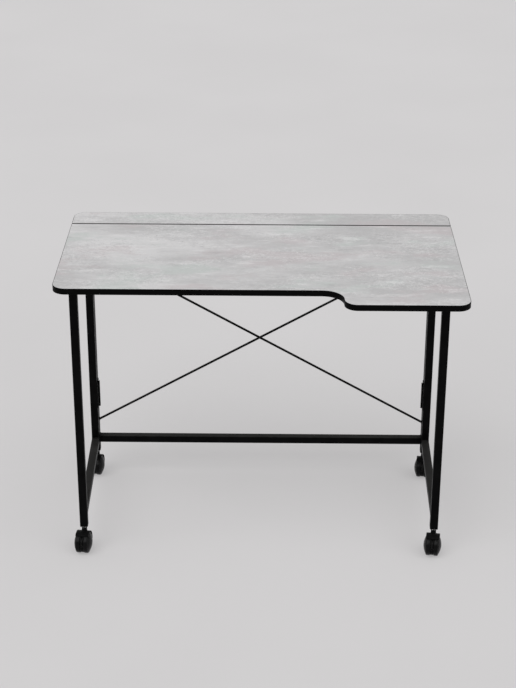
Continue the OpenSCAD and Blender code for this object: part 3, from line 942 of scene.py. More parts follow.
class TubeTool(GeometryTool):
    """Makes a length of square tube along Z, with round corners and ends cut straight or on a slope."""

    inputs = {
        "Width": Kind.FLOAT, "Wall": Kind.FLOAT, "Corner radius": Kind.FLOAT, "Corner steps": Kind.INT,
        "Length": Kind.FLOAT, "Start slope": Kind.VECTOR, "End slope": Kind.VECTOR,
    }

    def section(self, width: object, radius: object) -> NodeSocket:
        """Adds one outline of the tube's section.

        Args:
            width: Its width.
            radius: Radius of its corners.

        Returns:
            The outline's curve.
        """
        square = self.node(
            "GeometryNodeCurvePrimitiveQuadrilateral", {"mode": "RECTANGLE"}, Width=width, Height=width
        )
        return self.node(
            "GeometryNodeFilletCurve", {"mode": "POLY"}, Curve=square.outputs[0],
            Count=self.given("Corner steps"),
            Radius=radius,
        ).outputs[0]

    def join(self, *parts: NodeSocket) -> NodeSocket:
        """Joins geometries.

        Args:
            parts: What is joined.

        Returns:
            The joined geometry.
        """
        made = self.node("GeometryNodeJoinGeometry")
        for part in parts:
            self.put(made.inputs[0], part)
        return made.outputs[0]

    def sloped(self, place: NodeSocket, label: str, chosen: NodeSocket) -> NodeSocket:
        """How far a slope lifts the chosen points.

        Args:
            place: The points' places.
            label: The slope's input.
            chosen: 1 on the points that it lifts.

        Returns:
            The lift.
        """
        slope = self.node("ShaderNodeVectorMath", {"operation": "DOT_PRODUCT"})
        self.put(slope.inputs[0], place)
        self.put(slope.inputs[1], self.given(label))
        return self.times(slope.outputs["Value"], chosen)

    def build(self) -> NodeSocket:
        """Fills in the tree.

        Returns:
            The tube, whose corners are marked as worn edges.
        """
        width, wall, radius, length = (
            self.given(name) for name in ("Width", "Wall", "Corner radius", "Length")
        )
        bore = self.math("SUBTRACT", width, self.times(wall, 2.0))
        outlines = self.join(
            self.section(width, radius), self.section(bore, self.math("SUBTRACT", radius, wall))
        )
        foot = self.node("GeometryNodeFillCurve", {"mode": "TRIANGLES"}, Curve=outlines).outputs[0]
        along = self.node("ShaderNodeCombineXYZ", Z=length).outputs[0]
        walls = self.node(
            "GeometryNodeExtrudeMesh", {"mode": "FACES"}, Mesh=foot, Offset=along, Individual=False
        )
        both = self.join(walls.outputs["Mesh"], self.node("GeometryNodeFlipFaces", Mesh=foot).outputs[0])
        merged = self.node("GeometryNodeMergeByDistance", Geometry=both, Distance=0.000001)
        place = self.node("GeometryNodeInputPosition").outputs[0]
        parts = self.node("ShaderNodeSeparateXYZ", Vector=place)
        far = self.math("GREATER_THAN", parts.outputs["Z"], self.times(length, 0.5))
        near = self.math("SUBTRACT", 1.0, far)
        lift = self.math("ADD", self.sloped(place, "Start slope", near), self.sloped(place, "End slope", far))
        shift = self.node("ShaderNodeCombineXYZ", Z=lift)
        cut = self.node("GeometryNodeSetPosition", Geometry=merged.outputs[0], Offset=shift.outputs[0])
        flat = self.math("SUBTRACT", self.times(width, 0.5), self.times(radius, 0.99))
        across = [
            self.math("GREATER_THAN", self.math("ABSOLUTE", parts.outputs[axis]), flat) for axis in "XY"
        ]
        return self.node(
            "GeometryNodeStoreNamedAttribute", {"data_type": "FLOAT", "domain": "POINT"},
            Geometry=cut.outputs[0], Name="edge", Value=self.times(*across),
        ).outputs[0]


def marked_points(marks: Iterable[Mark]) -> Mesh:
    """Makes a mesh of loose points for the copy tool.

    Args:
        marks: Place in metres, direction of the copy's Z axis and direction of its X axis.

    Returns:
        The mesh.
    """
    places, *directions = zip(*marks)
    mesh = bpy.data.meshes.new("points")
    mesh.from_pydata([place[:] for place in places], [], [])
    for name, vectors in zip(("aim", "face"), directions):
        flat = [number for vector in vectors for number in vector]
        mesh.attributes.new(name, "FLOAT_VECTOR", "POINT").data.foreach_set("vector", flat)
    return mesh


def path_mesh(paths: Sequence[Ring], closed: bool) -> Mesh:
    """Makes a mesh of edges only, for the weld tool.

    Args:
        paths: The paths, in metres.
        closed: Whether each path's last point joins its first.

    Returns:
        The mesh.
    """
    verts: list[Vector] = []
    edges: list[tuple[int, int]] = []
    for path in paths:
        start = len(verts)
        verts += path
        edges += [(start + index, start + index + 1) for index in range(len(path) - 1)]
        edges += [(start + len(path) - 1, start)] if closed else []
    mesh = bpy.data.meshes.new("paths")
    mesh.from_pydata([vert[:] for vert in verts], edges, [])
    return mesh


@dataclass
class Workshop:
    """The tools that the sub-assemblies share."""

    copies: CopyTool = field(default_factory=lambda: CopyTool("copies on points"))
    welds: WeldTool = field(default_factory=lambda: WeldTool("weld beads"))
    tubes: TubeTool = field(default_factory=lambda: TubeTool("square tube"))
    bead_spacing: float = 0.9
    bead_uneven: float = 0.08
    bead_sharp_deg: float = 75.0

    def repeat(
        self, one: Mesh, marks: Iterable[Mark], name: str, body: str, finish: Finish, node: str,
        turn: Matrix | None = None, seed: int | None = None,
    ) -> None:
        """Makes a piece of copies of a mesh.

        Args:
            one: The mesh of one copy, which is removed.
            marks: Place, Z direction and X direction of each copy.
            name: The piece's name.
            body: The body that it rides on.
            finish: Its finish.
            node: The node that it replaces.
            turn: How the copies are turned where they stand, if at all.
            seed: Seed of their spins about their own Z axes, or None where they aren't spun.
        """
        pattern = add_object("pattern", one)
        spin = 0.0 if seed is None else math.pi
        made = self.copies.run(
            marked_points(marks), Copy=pattern, Spin=spin, Seed=seed or 0, Finish=finish.material()
        )
        drop(pattern)
        finish_piece(made, name, body, finish, [node], turn)

    def weld(
        self, name: str, body: str, closed: Sequence[Ring], opened: Sequence[Ring] = (), seed: int = 0,
        bead_r: float = 1.5, turn: Matrix | None = None,
    ) -> None:
        """Makes the welds of a frame.

        Args:
            name: Name of the piece.
            body: The body that it rides on.
            closed: Paths that go right round.
            opened: Paths with two ends.
            seed: Seed of the beads' sizes.
            bead_r: Radius of the beads.
            turn: How the frame is turned where it stands, if at all.
        """
        welds = Shape()
        for paths, whole in ((closed, True), (opened, False)):
            if paths:
                welds.take(self.welds.run(
                    path_mesh(paths, whole), Spacing=bead_r * self.bead_spacing * MM, Bead_radius=bead_r * MM,
                    Unevenness=self.bead_uneven, Seed=seed, Finish=POWDER_COAT.material(),
                ))
        finish_piece(welds.mesh(name, self.bead_sharp_deg), name, body, POWDER_COAT, turn=turn)


# Sizes taken from the frame


def span(node: str, turn: Matrix | None = None) -> tuple[Vector, Vector]:
    """A node's box before it was turned.

    Args:
        node: The node's name.
        turn: How the node was turned, if at all.

    Returns:
        Its lowest and highest corner, in millimetres.
    """
    if turn is None:
        low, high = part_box(node)
        return low / MM, high / MM
    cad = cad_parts[node]
    back = turn.inverted() @ cad.matrix_world
    spots = [back @ vert.co / MM for vert in cad.data.vertices]
    return tuple(Vector([pick(spot[axis] for spot in spots) for axis in range(3)]) for pick in (min, max))


def centre(node: str, turn: Matrix | None = None) -> Vector:
    """The middle of a node's box."""
    low, high = span(node, turn)
    return (low + high) / 2


@dataclass
class Measures:
    """Main sizes of the table, most of them read from the frame's nodes."""

    hinge_out: float = 3.3
    toe_in_deg: float = 1.1

    def __post_init__(self) -> None:
        """Reads the sizes."""
        low, high = span("main_top_edging")
        strip_low, strip_high = span("rear_strip_edging")
        post_low, post_high = span("rear_post_right")
        self.half_w = (high.x - low.x) / 2
        self.under_z, self.top_z = low.z, high.z
        self.band_t = span("main_top_board")[0].x - low.x
        self.front_y, self.board_back_y = low.y, high.y
        self.strip_front_y, self.back_y = strip_low.y, strip_high.y
        self.tube = post_high.x - post_low.x
        self.inner_x = post_low.x
        self.rear_mid_y = (post_low.y + post_high.y) / 2
        self.hinge_y = centre("frame_hinge_pins").y

    def toe_in(self, side: Side) -> Matrix:
        """How a side frame stands turned in about its hinges, for places in metres."""
        axis = moved(side.value * (self.inner_x - self.hinge_out), self.hinge_y, 0.0)
        return axis @ rotated(-side.value * self.toe_in_deg, "Z") @ axis.inverted()


# Sub-assemblies


@dataclass
class Assembly:
    """A sub-assembly, with the measures and the tools that all of them share."""

    size: Measures
    shop: Workshop


@dataclass
class Tabletop(Assembly):
    """The main board with its stepped front, and the fixed strip behind it."""

    front_step: float = 83.0
    step_x: float = 195.0
    hollow_r: float = 50.0
    nose_r: float = 31.0
    corner_r: float = 32.0
    gap_corner_r: float = 2.6
    corner_steps: int = 20
    gap_steps: int = 5
    round_r: float = 0.6
    round_steps: int = 4
    seam: float = 0.1
    band_sharp_deg: float = 50.0

    def rings(
        self, corners: Sequence[tuple[float, float, float, float]], profile: Sequence[Point]
    ) -> list[Ring]:
        """Rings round a board.

        Args:
            corners: Centre, radius and first angle of each quarter circle. A negative radius makes it hollow.
            profile: How far each ring is drawn in, and its height.

        Returns:
            The rings, in metres.
        """
        rings = []
        for inset, height in profile:
            points = []
            for x, y, radius, start in corners:
                steps = self.gap_steps if radius == self.gap_corner_r else self.corner_steps
                points += arc((x, y), abs(radius - inset), start, start + math.copysign(90, radius), steps)
            rings.append([Vector((x, y, height)) * MM for x, y in points])
        return rings

    def board(self, name: str, body: str, corners: Sequence[tuple[float, float, float, float]]) -> None:
        """Makes a laminated board with a hairline seam round it, and its edge band with eased outer edges.

        Args:
            name: Start of the names of its pieces and nodes.
            body: The body that it rides on.
            corners: The quarter circles of its outline.
        """
        edge, seam, low, high = self.size.band_t, self.seam, self.size.under_z, self.size.top_z
        inner = [(edge + seam, low), (edge, low + seam), (edge, high - seam), (edge + seam, high)]
        panel = Shape().loft(self.rings(corners, inner)).mesh(f"{name}_panel")
        finish_piece(panel, f"{name}_panel", body, LAMINATE, [f"{name}_board"])
        radius, steps = self.round_r, self.round_steps
        outer = arc((radius, low + radius), radius, 270, 180, steps)
        outer += arc((radius, high - radius), radius, 180, 90, steps)
        outer += [(edge - seam, high), (edge, high - seam), (edge, low + seam), (edge - seam, low)]
        marks = [0.0] + [1.0] * (steps - 1) + [0.0, 0.0] + [1.0] * (steps - 1) + [0.0] * 5
        band = Shape().loft(self.rings(corners, outer), marks, closed=True)
        finish_piece(
            band.mesh(f"{name}_band", self.band_sharp_deg), f"{name}_band", body, EDGE_BAND,
            [f"{name}_edging"],
        )

    def make(self) -> None:
        """Makes the pieces of the top."""
        size, half, big, small = self.size, self.size.half_w, self.corner_r, self.gap_corner_r
        near, far, left_near = size.front_y, size.board_back_y, size.front_y + self.front_step
        self.board("main_top", TOP, [
            (half - big, near + big, big, -90), (half - small, far - small, small, 0),
            (small - half, far - small, small, 90), (big - half, left_near + big, big, 180),
            (self.step_x - self.hollow_r, left_near - self.hollow_r, -self.hollow_r, 90),
            (self.step_x + self.nose_r, near + self.nose_r, self.nose_r, 180),
        ])
        near, far = size.strip_front_y, size.back_y
        self.board("rear_strip", REAR, [
            (half - small, near + small, small, -90), (half - big, far - big, big, 0),
            (big - half, far - big, big, 90), (small - half, near + small, small, 180),
        ])


@dataclass
class PanScrew:
    """A pan-head screw with a cross recess. Its axis is Z and its head sits on z = 0."""

    shank_d: float
    length: float
    head_ratio: float = 1.75
    head_h_ratio: float = 0.42
    rim_share: float = 0.3
    recess_ratio: float = 0.58
    recess_depth: float = 0.88
    slot_ratio: float = 0.15
    taper: float = 0.55
    tip_l: float = 1.2
    tip_share: float = 0.4
    # The head's foot: share of its radius, and share of its height at which it is full
    foot: Point = (0.96, 0.06)
    # The recess above the head: share of the head's height, and how far it has widened
    mouth: Point = (1.3, 1.1)
    count: int = 32
    dome_steps: int = 7

    def mesh(self) -> Mesh:
        """Turns the screw and cuts its recess.

        Returns:
            The mesh.
        """
        shank_r, head_r = self.shank_d / 2, self.shank_d * self.head_ratio / 2
        head_h = self.shank_d * self.head_h_ratio
        rim = head_h * self.rim_share
        dome = arc((0, rim), head_r, 0, 90, self.dome_steps, head_h - rim)
        profile = [
            (0, -self.length), (shank_r * self.tip_share, -self.length), (shank_r, self.tip_l - self.length),
            (shank_r, 0), (head_r * self.foot[0], 0), (head_r, head_h * self.foot[1]), *dome,
        ]
        marks = [0.0] * 5 + [0.3] + [1.0] * 2 + [0.25] * (len(dome) - 2)
        reach, slot = head_r * self.recess_ratio, head_r * self.slot_ratio
        cross = [
            rotated(90 * turn, "Z") @ Vector((x, y, 0.0))
            for turn in range(4) for x, y in ((reach, -slot), (reach, slot), (slot, slot))
        ]
        above, wide = self.mouth
        levels = ((head_h * (1 - self.recess_depth), self.taper), (head_h * above, wide))
        recess = Shape().loft(
            [[Vector((p.x * share, p.y * share, z)) * MM for p in cross] for z, share in levels]
        )
        return cut_away(turned(profile, self.count, marks), recess)


@dataclass
class ButtHinge:
    """A butt hinge with rolled knuckles.

    Its pin stands along Z through the origin. Its leaf lies on the plane x = -axis_out and reaches
    towards +Y. Both leaves look the same from either end, so the other leaf is a half turn about X.
    """

    length: float
    leaf_w: float
    leaf_t: float
    knuckles: int
    screw: PanScrew
    knuckle_d: float = 6.0
    pin_d: float = 3.0
    pin_fit: float = 0.05
    pin_head_h: float = 1.0
    pin_rim: float = 0.25
    pin_head_ratio: float = 0.4
    pin_foot_share: float = 0.97
    pin_count: int = 28
    dome_steps: int = 5
    axis_out: float = 3.3
    screws: int = 3
    screw_span: float = 0.7
    turn_gap: float = 0.4
    knuckle_gap: float = 0.3
    corner_r: float = 2.5
    corner_steps: int = 6
    curl_gap: float = 0.35
    curl_steps: int = 30
    bore_stop_deg: float = 186.0
    bore_steps: int = 26
    root_share: float = 0.45
    overlap: float = 0.6
    skin: float = 0.02
    ease: float = 0.18
    ease_from_deg: float = 40.0
    sharp_deg: float = 30.0

    def curl(self) -> list[Point]:
        """Section of a rolled knuckle with its root, as one closed outline in X and Y.

        Returns:
            The outline.
        """
        outer, inner = self.knuckle_d / 2, self.pin_d / 2 + self.pin_fit
        root = outer + self.turn_gap + self.overlap
        face, back = -self.axis_out + self.skin, self.leaf_t - self.axis_out - self.skin
        stop = math.degrees(math.acos(max(-1.0, (back + self.curl_gap) / outer)))
        rolled = arc((0, 0), outer, 180, 360 + stop, self.curl_steps)
        bore = arc((0, 0), inner, 360 + stop, self.bore_stop_deg, self.bore_steps)
        return [(back, root), (face, root)] + rolled + bore + [(min(back, -inner), root * self.root_share)]

    def leaf(self, first: int) -> Mesh:
        """One leaf with its knuckles.

        Args:
            first: 0 for the leaf that owns the end knuckles, 1 for the other.

        Returns:
            The mesh.
        """
        root, half, radius = self.knuckle_d / 2 + self.turn_gap, self.length / 2, self.corner_r
        reach, step = self.leaf_w - radius, self.length / self.knuckles
        outline = [(root, -half), *arc((reach, radius - half), radius, -90, 0, self.corner_steps)]
        outline += [*arc((reach, half - radius), radius, 0, 90, self.corner_steps), (root, half)]
        levels = (-self.axis_out, self.leaf_t - self.axis_out)
        shape = Shape().loft([[Vector((x, y, z)) * MM for y, z in outline] for x in levels])
        for index in range(first, self.knuckles, 2):
            low = -half + index * step + self.knuckle_gap / 2
            ends = (low, low + step - self.knuckle_gap)
            shape.add(Shape().loft([[Vector((x, y, z)) * MM for x, y in self.curl()] for z in ends]))
        return modified(
            shape.mesh("leaf", self.sharp_deg), "BEVEL", width=self.ease * MM, segments=2,
            limit_method="ANGLE", angle_limit=math.radians(self.ease_from_deg),
        )

    def pin(self) -> Mesh:
        """The pin with its two domed heads.

        Returns:
            The mesh.
        """
        half, head_r = self.length / 2, self.knuckle_d * self.pin_head_ratio
        rise = self.pin_head_h - self.pin_rim
        dome = arc((0, half + self.pin_rim), head_r, 0, 90, self.dome_steps, rise)
        upper = [(self.pin_d / 2, half - self.skin), (head_r * self.pin_foot_share, half), *dome]
        return turned([(r, -z) for r, z in reversed(upper)] + upper, self.pin_count).mesh("pin")

    def screw_places(self) -> list[Vector]:
        """Places of the screw heads on a leaf.

        Returns:
            The places, in millimetres.
        """
        across = (self.leaf_w + self.knuckle_d / 2) / 2
        along = [
            self.length * self.screw_span * (index / (self.screws - 1) - 0.5) for index in range(self.screws)
        ]
        return [Vector((self.leaf_t - self.axis_out, across, z)) for z in along]


def seat_mark(seat: Matrix, place: Vector | None = None) -> Mark:
    """Where the copy tool puts a hinge, or a screw of its leaf.

    Args:
        seat: The hinge's place in millimetres and its turn.
        place: The screw's place on the hinge.

    Returns:
        Place in metres, Z direction and X direction of the copy.
    """
    ahead, up = seat.col[0].xyz, seat.col[2].xyz
    return (seat.translation * MM, up, ahead) if place is None else ((seat @ place) * MM, ahead, up)


@dataclass
class HingeSet(Assembly):
    """The upright hinges of the side frames and the hinges under the gap in the top."""

    upright: ButtHinge = field(default_factory=lambda: ButtHinge(76.0, 18.0, 1.5, 5, PanScrew(4.0, 7.0)))
    top: ButtHinge = field(default_factory=lambda: ButtHinge(50.0, 22.0, 1.2, 3, PanScrew(3.5, 10.5)))

    def upright_seats(self, side: Side) -> list[Matrix]:
        """Seats of one side's upright hinges, for the leaf on the rear post.

        Args:
            side: The side.

        Returns:
            The seats, low one first.
        """
        low, high = span("frame_hinge_pins")
        turn = Matrix.Identity(4) if side is Side.LEFT else rotated(180, "Y")
        reach = self.upright.length / 2 + self.upright.pin_head_h
        x = side.value * (self.size.inner_x - self.upright.axis_out)
        return [Matrix.Translation((x, self.size.hinge_y, z)) @ turn for z in (low.z + reach, high.z - reach)]

    def top_seats(self) -> list[Matrix]:
        """Seats of the top's hinges, for the leaf on the strip.

        Returns:
            The seats, from left to right.
        """
        low, high = span("top_hinge_pins")
        middle = (low + high) / 2
        reach = self.top.length / 2 + self.top.pin_head_h
        places = [(x, middle.y, middle.z) for x in (low.x + reach, middle.x, high.x - reach)]
        return [Matrix.Translation(place) @ rotated(90, "Y") for place in places]

    def place(
        self, hinge: ButtHinge, seats: Sequence[Matrix], name: str, body: str, nodes: tuple[str, str],
        first: int,
        finish: Finish, turn: Matrix | None = None,
    ) -> None:
        """Makes the leaves on one body with their screws.

        Args:
            hinge: The hinge.
            seats: Seats of the leaves, for the leaf that owns the end knuckles.
            name: Start of the pieces' names.
            body: The body that they ride on.
            nodes: The nodes of the leaves and of the screws.
            first: 0 for the leaves that own the end knuckles, 1 for the others.
            finish: Finish of the screws.
            turn: How the leaves are turned, if at all.
        """
        seats = [seat @ rotated(180, "X") for seat in seats] if first else seats
        marks = [seat_mark(seat) for seat in seats]
        self.shop.repeat(hinge.leaf(first), marks, f"{name}_leaves", body, HINGE_COAT, nodes[0], turn)
        marks = [seat_mark(seat, place) for seat in seats for place in hinge.screw_places()]
        self.shop.repeat(
            hinge.screw.mesh(), marks, f"{name}_fixings", body, finish, nodes[1], turn, len(name)
        )

    def make(self) -> None:
        """Makes the pieces of all hinges."""
        post, moving = (
            (f"{word}_leaves", f"{word}_screws") for word in ("frame_hinge_fixed", "top_hinge_moving")
        )
        seats = {side: self.upright_seats(side) for side in Side}
        fixed = [seat for side in Side for seat in seats[side]]
        self.place(self.upright, fixed, "post_hinge", REAR, post, 0, SCREW_COAT)
        for side in Side:
            nodes = (f"{side.word}_side_hinge_leaves", f"{side.word}_side_hinge_screws")
            name, turn = f"{side.word}_hinge", self.size.toe_in(side)
            self.place(self.upright, seats[side], name, side.body, nodes, 1, SCREW_COAT, turn)
        above, strip = self.top_seats(), ("top_hinge_fixed_leaves", "top_hinge_fixed_screws")
        self.place(self.top, above, "strip_hinge", REAR, strip, 0, ZINC)
        self.place(self.top, above, "board_hinge", TOP, moving, 1, ZINC)
        for hinge, seats, word, node in (
            (self.upright, fixed, "post", "frame_hinge_pins"), (self.top, above, "strip", "top_hinge_pins"),
        ):
            self.shop.repeat(
                hinge.pin(), [seat_mark(seat) for seat in seats], f"{word}_hinge_pins", REAR, ZINC, node
            )


class Run(Enum):
    """Direction in which a tube runs from its start, by its axis."""

    ACROSS = 0
    BACK = 1
    UP = 2

    @property
    def turn(self) -> Matrix:
        """The turn that lays a tube along Z in this direction."""
        return (rotated(90, "Y"), rotated(-90, "X"), Matrix.Identity(4))[self.value]


@dataclass
class TubeFrames(Assembly):
    """The rear frame and the two side frames, of welded square tube."""

    wall: float = 1.2
    corner_r: float = 2.0
    corner_steps: int = 4
    bead_r: float = 1.5
    bead_sink: float = 1.1
    bead_rise: float = 0.3
    bead_in: float = 0.6
    bead_out: float = 0.3
    bead_bend: float = 1.5
    bend_steps: int = 3
    strip_screws: int = 4
    strip_screw: PanScrew = field(default_factory=lambda: PanScrew(4.0, 29.5))

    def add_tube(
        self, name: str, body: str, node: str, run: Run, slopes: Point = (0.0, 0.0),
        turn: Matrix | None = None
    ) -> None:
        """Makes a tube that stands for a node.

        Args:
            name: Its name.
            body: The body that it rides on.
            node: The node, which gives its place and length.
            run: Where it runs.
            slopes: Slope of its start and its end along its own Y.
            turn: How the tube is turned where it stands, if at all.
        """
        low, high = span(node, turn)
        width, start, axis = self.size.tube, (low + high) / 2, run.value
        start[axis] = low[axis] + (width / 2 if slopes[0] else 0)
        length = high[axis] - (width / 2 if slopes[1] else 0) - start[axis]
        made = self.shop.tubes.run(
            bpy.data.meshes.new("blank"), Width=width * MM, Wall=self.wall * MM,
            Corner_radius=self.corner_r * MM,
            Corner_steps=self.corner_steps, Length=length * MM, Start_slope=(0.0, slopes[0], 0.0),
            End_slope=(0.0, slopes[1], 0.0), Finish=POWDER_COAT.material(),
        )
        made.transform(moved(*start) @ run.turn)
        finish_piece(made, name, body, POWDER_COAT, [node], turn)

    def collar(self, middle: Vector, run: Run, towards: int, open_top: bool = False) -> Ring:
        """Path of the weld round a tube's end.

        Args:
            middle: Middle of the tube's end, in millimetres.
            run: Where the tube runs.
            towards: 1 where the other tube lies beyond the end, -1 where it lies before it.
            open_top: Whether the weld stops below the top face.

        Returns:
            The path, in metres.
        """
        half = self.size.tube / 2
        wide, high, bend = half - self.bead_sink, half + self.bead_rise, self.bead_bend
        corners = ((1, 1, 90), (1, -1, 0), (-1, -1, -90), (-1, 1, -180))
        points = []
        for x, y, start in corners[1:3] if open_top else corners:
            points += arc((x * (wide - bend), y * (high - bend)), bend, start, start - 90, self.bend_steps)
        if open_top:
            points = [(wide, half - self.bead_r), *points, (-wide, half - self.bead_r)]
        path = []
        for aside, up in points:
            over = min(max((abs(up) - high + bend) / bend, 0.0), 1.0)
            along = towards * (self.bead_in - (self.bead_in + self.bead_out) * over)
            shift = Vector((along, aside, up)) if run is Run.ACROSS else Vector((aside, along, up))
            path.append((middle + shift) * MM)
        return path

    def mitre(self, middle: Vector) -> Ring:
        """Path of the weld round the mitred lower rear corner of a side frame.

        Args:
            middle: Middle of the corner, in millimetres.

        Returns:
            The path, in metres.
        """
        outer, inner = self.size.tube / 2 - self.bead_sink, self.size.tube / 2 + self.bead_rise
        points = (
            (outer, -inner, inner), (outer, outer, -outer), (-outer, outer, -outer), (-outer, -inner, inner)
        )
        return [(middle + Vector(point)) * MM for point in points]

    def make_rear(self) -> None:
        """Makes the rear frame and the screws that hold the strip on it."""
        for side in Side:
            self.add_tube(f"rear_{side.word}_tube", REAR, f"rear_post_{side.word}", Run.UP)
        self.add_tube("rear_high_tube", REAR, "rear_top_rail", Run.ACROSS)
        self.add_tube("rear_low_tube", REAR, "rear_crossbar", Run.ACROSS)
        ends = []
        for node, open_top in (("rear_crossbar", False), ("rear_top_rail", True)):
            middle = centre(node)
            for towards, corner in zip((-1, 1), span(node)):
                ends.append(
                    self.collar(Vector((corner.x, middle.y, middle.z)), Run.ACROSS, towards, open_top)
                )
        self.shop.weld("rear_frame_welds", REAR, ends[:2], ends[2:], 3, self.bead_r)
        low, high = span("strip_screws")
        head_r = self.strip_screw.shank_d * self.strip_screw.head_ratio / 2
        first, last, y, z = low.x + head_r, high.x - head_r, self.size.rear_mid_y, span("rear_top_rail")[0].z
        spots = [first + (last - first) * step / (self.strip_screws - 1) for step in range(self.strip_screws)]
        marks = [(Vector((x, y, z)) * MM, Vector((0, 0, -1)), Vector((1, 0, 0))) for x in spots]
        self.shop.repeat(self.strip_screw.mesh(), marks, "strip_fixings", REAR, ZINC, "strip_screws", seed=8)

    def make_side(self, side: Side) -> None:
        """Makes a side frame.

        Args:
            side: The side.
        """
        word, turn = side.word, self.size.toe_in(side)
        for name, node, run, slopes in (
            ("front", "front_post", Run.UP, (0.0, 0.0)), ("rear", "rear_post", Run.UP, (-1.0, 0.0)),
            ("high", "top_rail", Run.BACK, (0.0, 0.0)), ("low", "bottom_rail", Run.BACK, (0.0, 1.0)),
        ):
            self.add_tube(f"{word}_{name}_tube", side.body, f"{word}_side_{node}", run, slopes, turn)
        rings = []
        for node, mitred in ((f"{word}_side_top_rail", False), (f"{word}_side_bottom_rail", True)):
            near, far = centre(node, turn), centre(node, turn)
            near.y, far.y = (corner.y for corner in span(node, turn))
            rings.append(self.collar(near, Run.BACK, -1))
            if mitred:
                far.y -= self.size.tube / 2
            rings.append(self.mitre(far) if mitred else self.collar(far, Run.BACK, 1))
        self.shop.weld(
            f"{word}_frame_welds", side.body, rings, seed=5 + side.value, bead_r=self.bead_r, turn=turn
        )

    def make(self) -> None:
        """Makes the three frames."""
        self.make_rear()
        for side in Side:
            self.make_side(side)


@dataclass
class CrossBrace(Assembly):
    """Two crossed rods, cut upright at their ends and welded to the inner faces of the rear posts."""

    rod_d: float = 6.0
    rod_gap: float = 0.4
    count: int = 28
    bead_r: float = 1.2
    bead_out: float = 0.3
    bead_grow: float = 0.08
    fit_rounds: int = 4

    def rod(self, node: str, low_end: Side) -> tuple[Mesh, list[Ring]]:
        """Makes a rod.

        Args:
            node: The node that it stands for.
            low_end: The side of its low end.

        Returns:
            The mesh, and the paths of the welds round its ends.
        """
        low, high = span(node)
        radius = self.rod_d / 2
        y = self.size.rear_mid_y - low_end.value * (radius + self.rod_gap / 2)
        tall = radius
        # The height of the upright section and the rod's slope depend on each other
        for _ in range(self.fit_rounds):
            tall = radius * math.hypot(1.0, (high.z - low.z - 2 * tall) / (high.x - low.x))

        def ring(x: float, z: float, size: float = 1.0) -> Ring:
            """The rod's upright section at a place, larger or smaller."""
            wide, high_r = radius * size, tall * size
            return [
                Vector((x, y + wide * math.cos(t), z + high_r * math.sin(t))) * MM for t in around(self.count)
            ]

        reach = low_end.value * self.size.inner_x
        ends = ((reach, low.z + tall), (-reach, high.z - tall))
        inwards = 1 - self.bead_out / self.size.inner_x
        welds = [ring(x * inwards, z, 1 + self.bead_grow) for x, z in ends]
        return Shape().loft([ring(*end) for end in ends]).mesh(node), welds

    def make(self) -> None:
        """Makes the brace."""
        welds = []
        for word, side in (("rising", Side.LEFT), ("falling", Side.RIGHT)):
            mesh, paths = self.rod(f"brace_rod_{word}", side)
            finish_piece(mesh, f"{word}_brace", REAR, POWDER_COAT, [f"brace_rod_{word}"])
            welds += paths
        self.shop.weld("brace_welds", REAR, welds, seed=11, bead_r=self.bead_r)


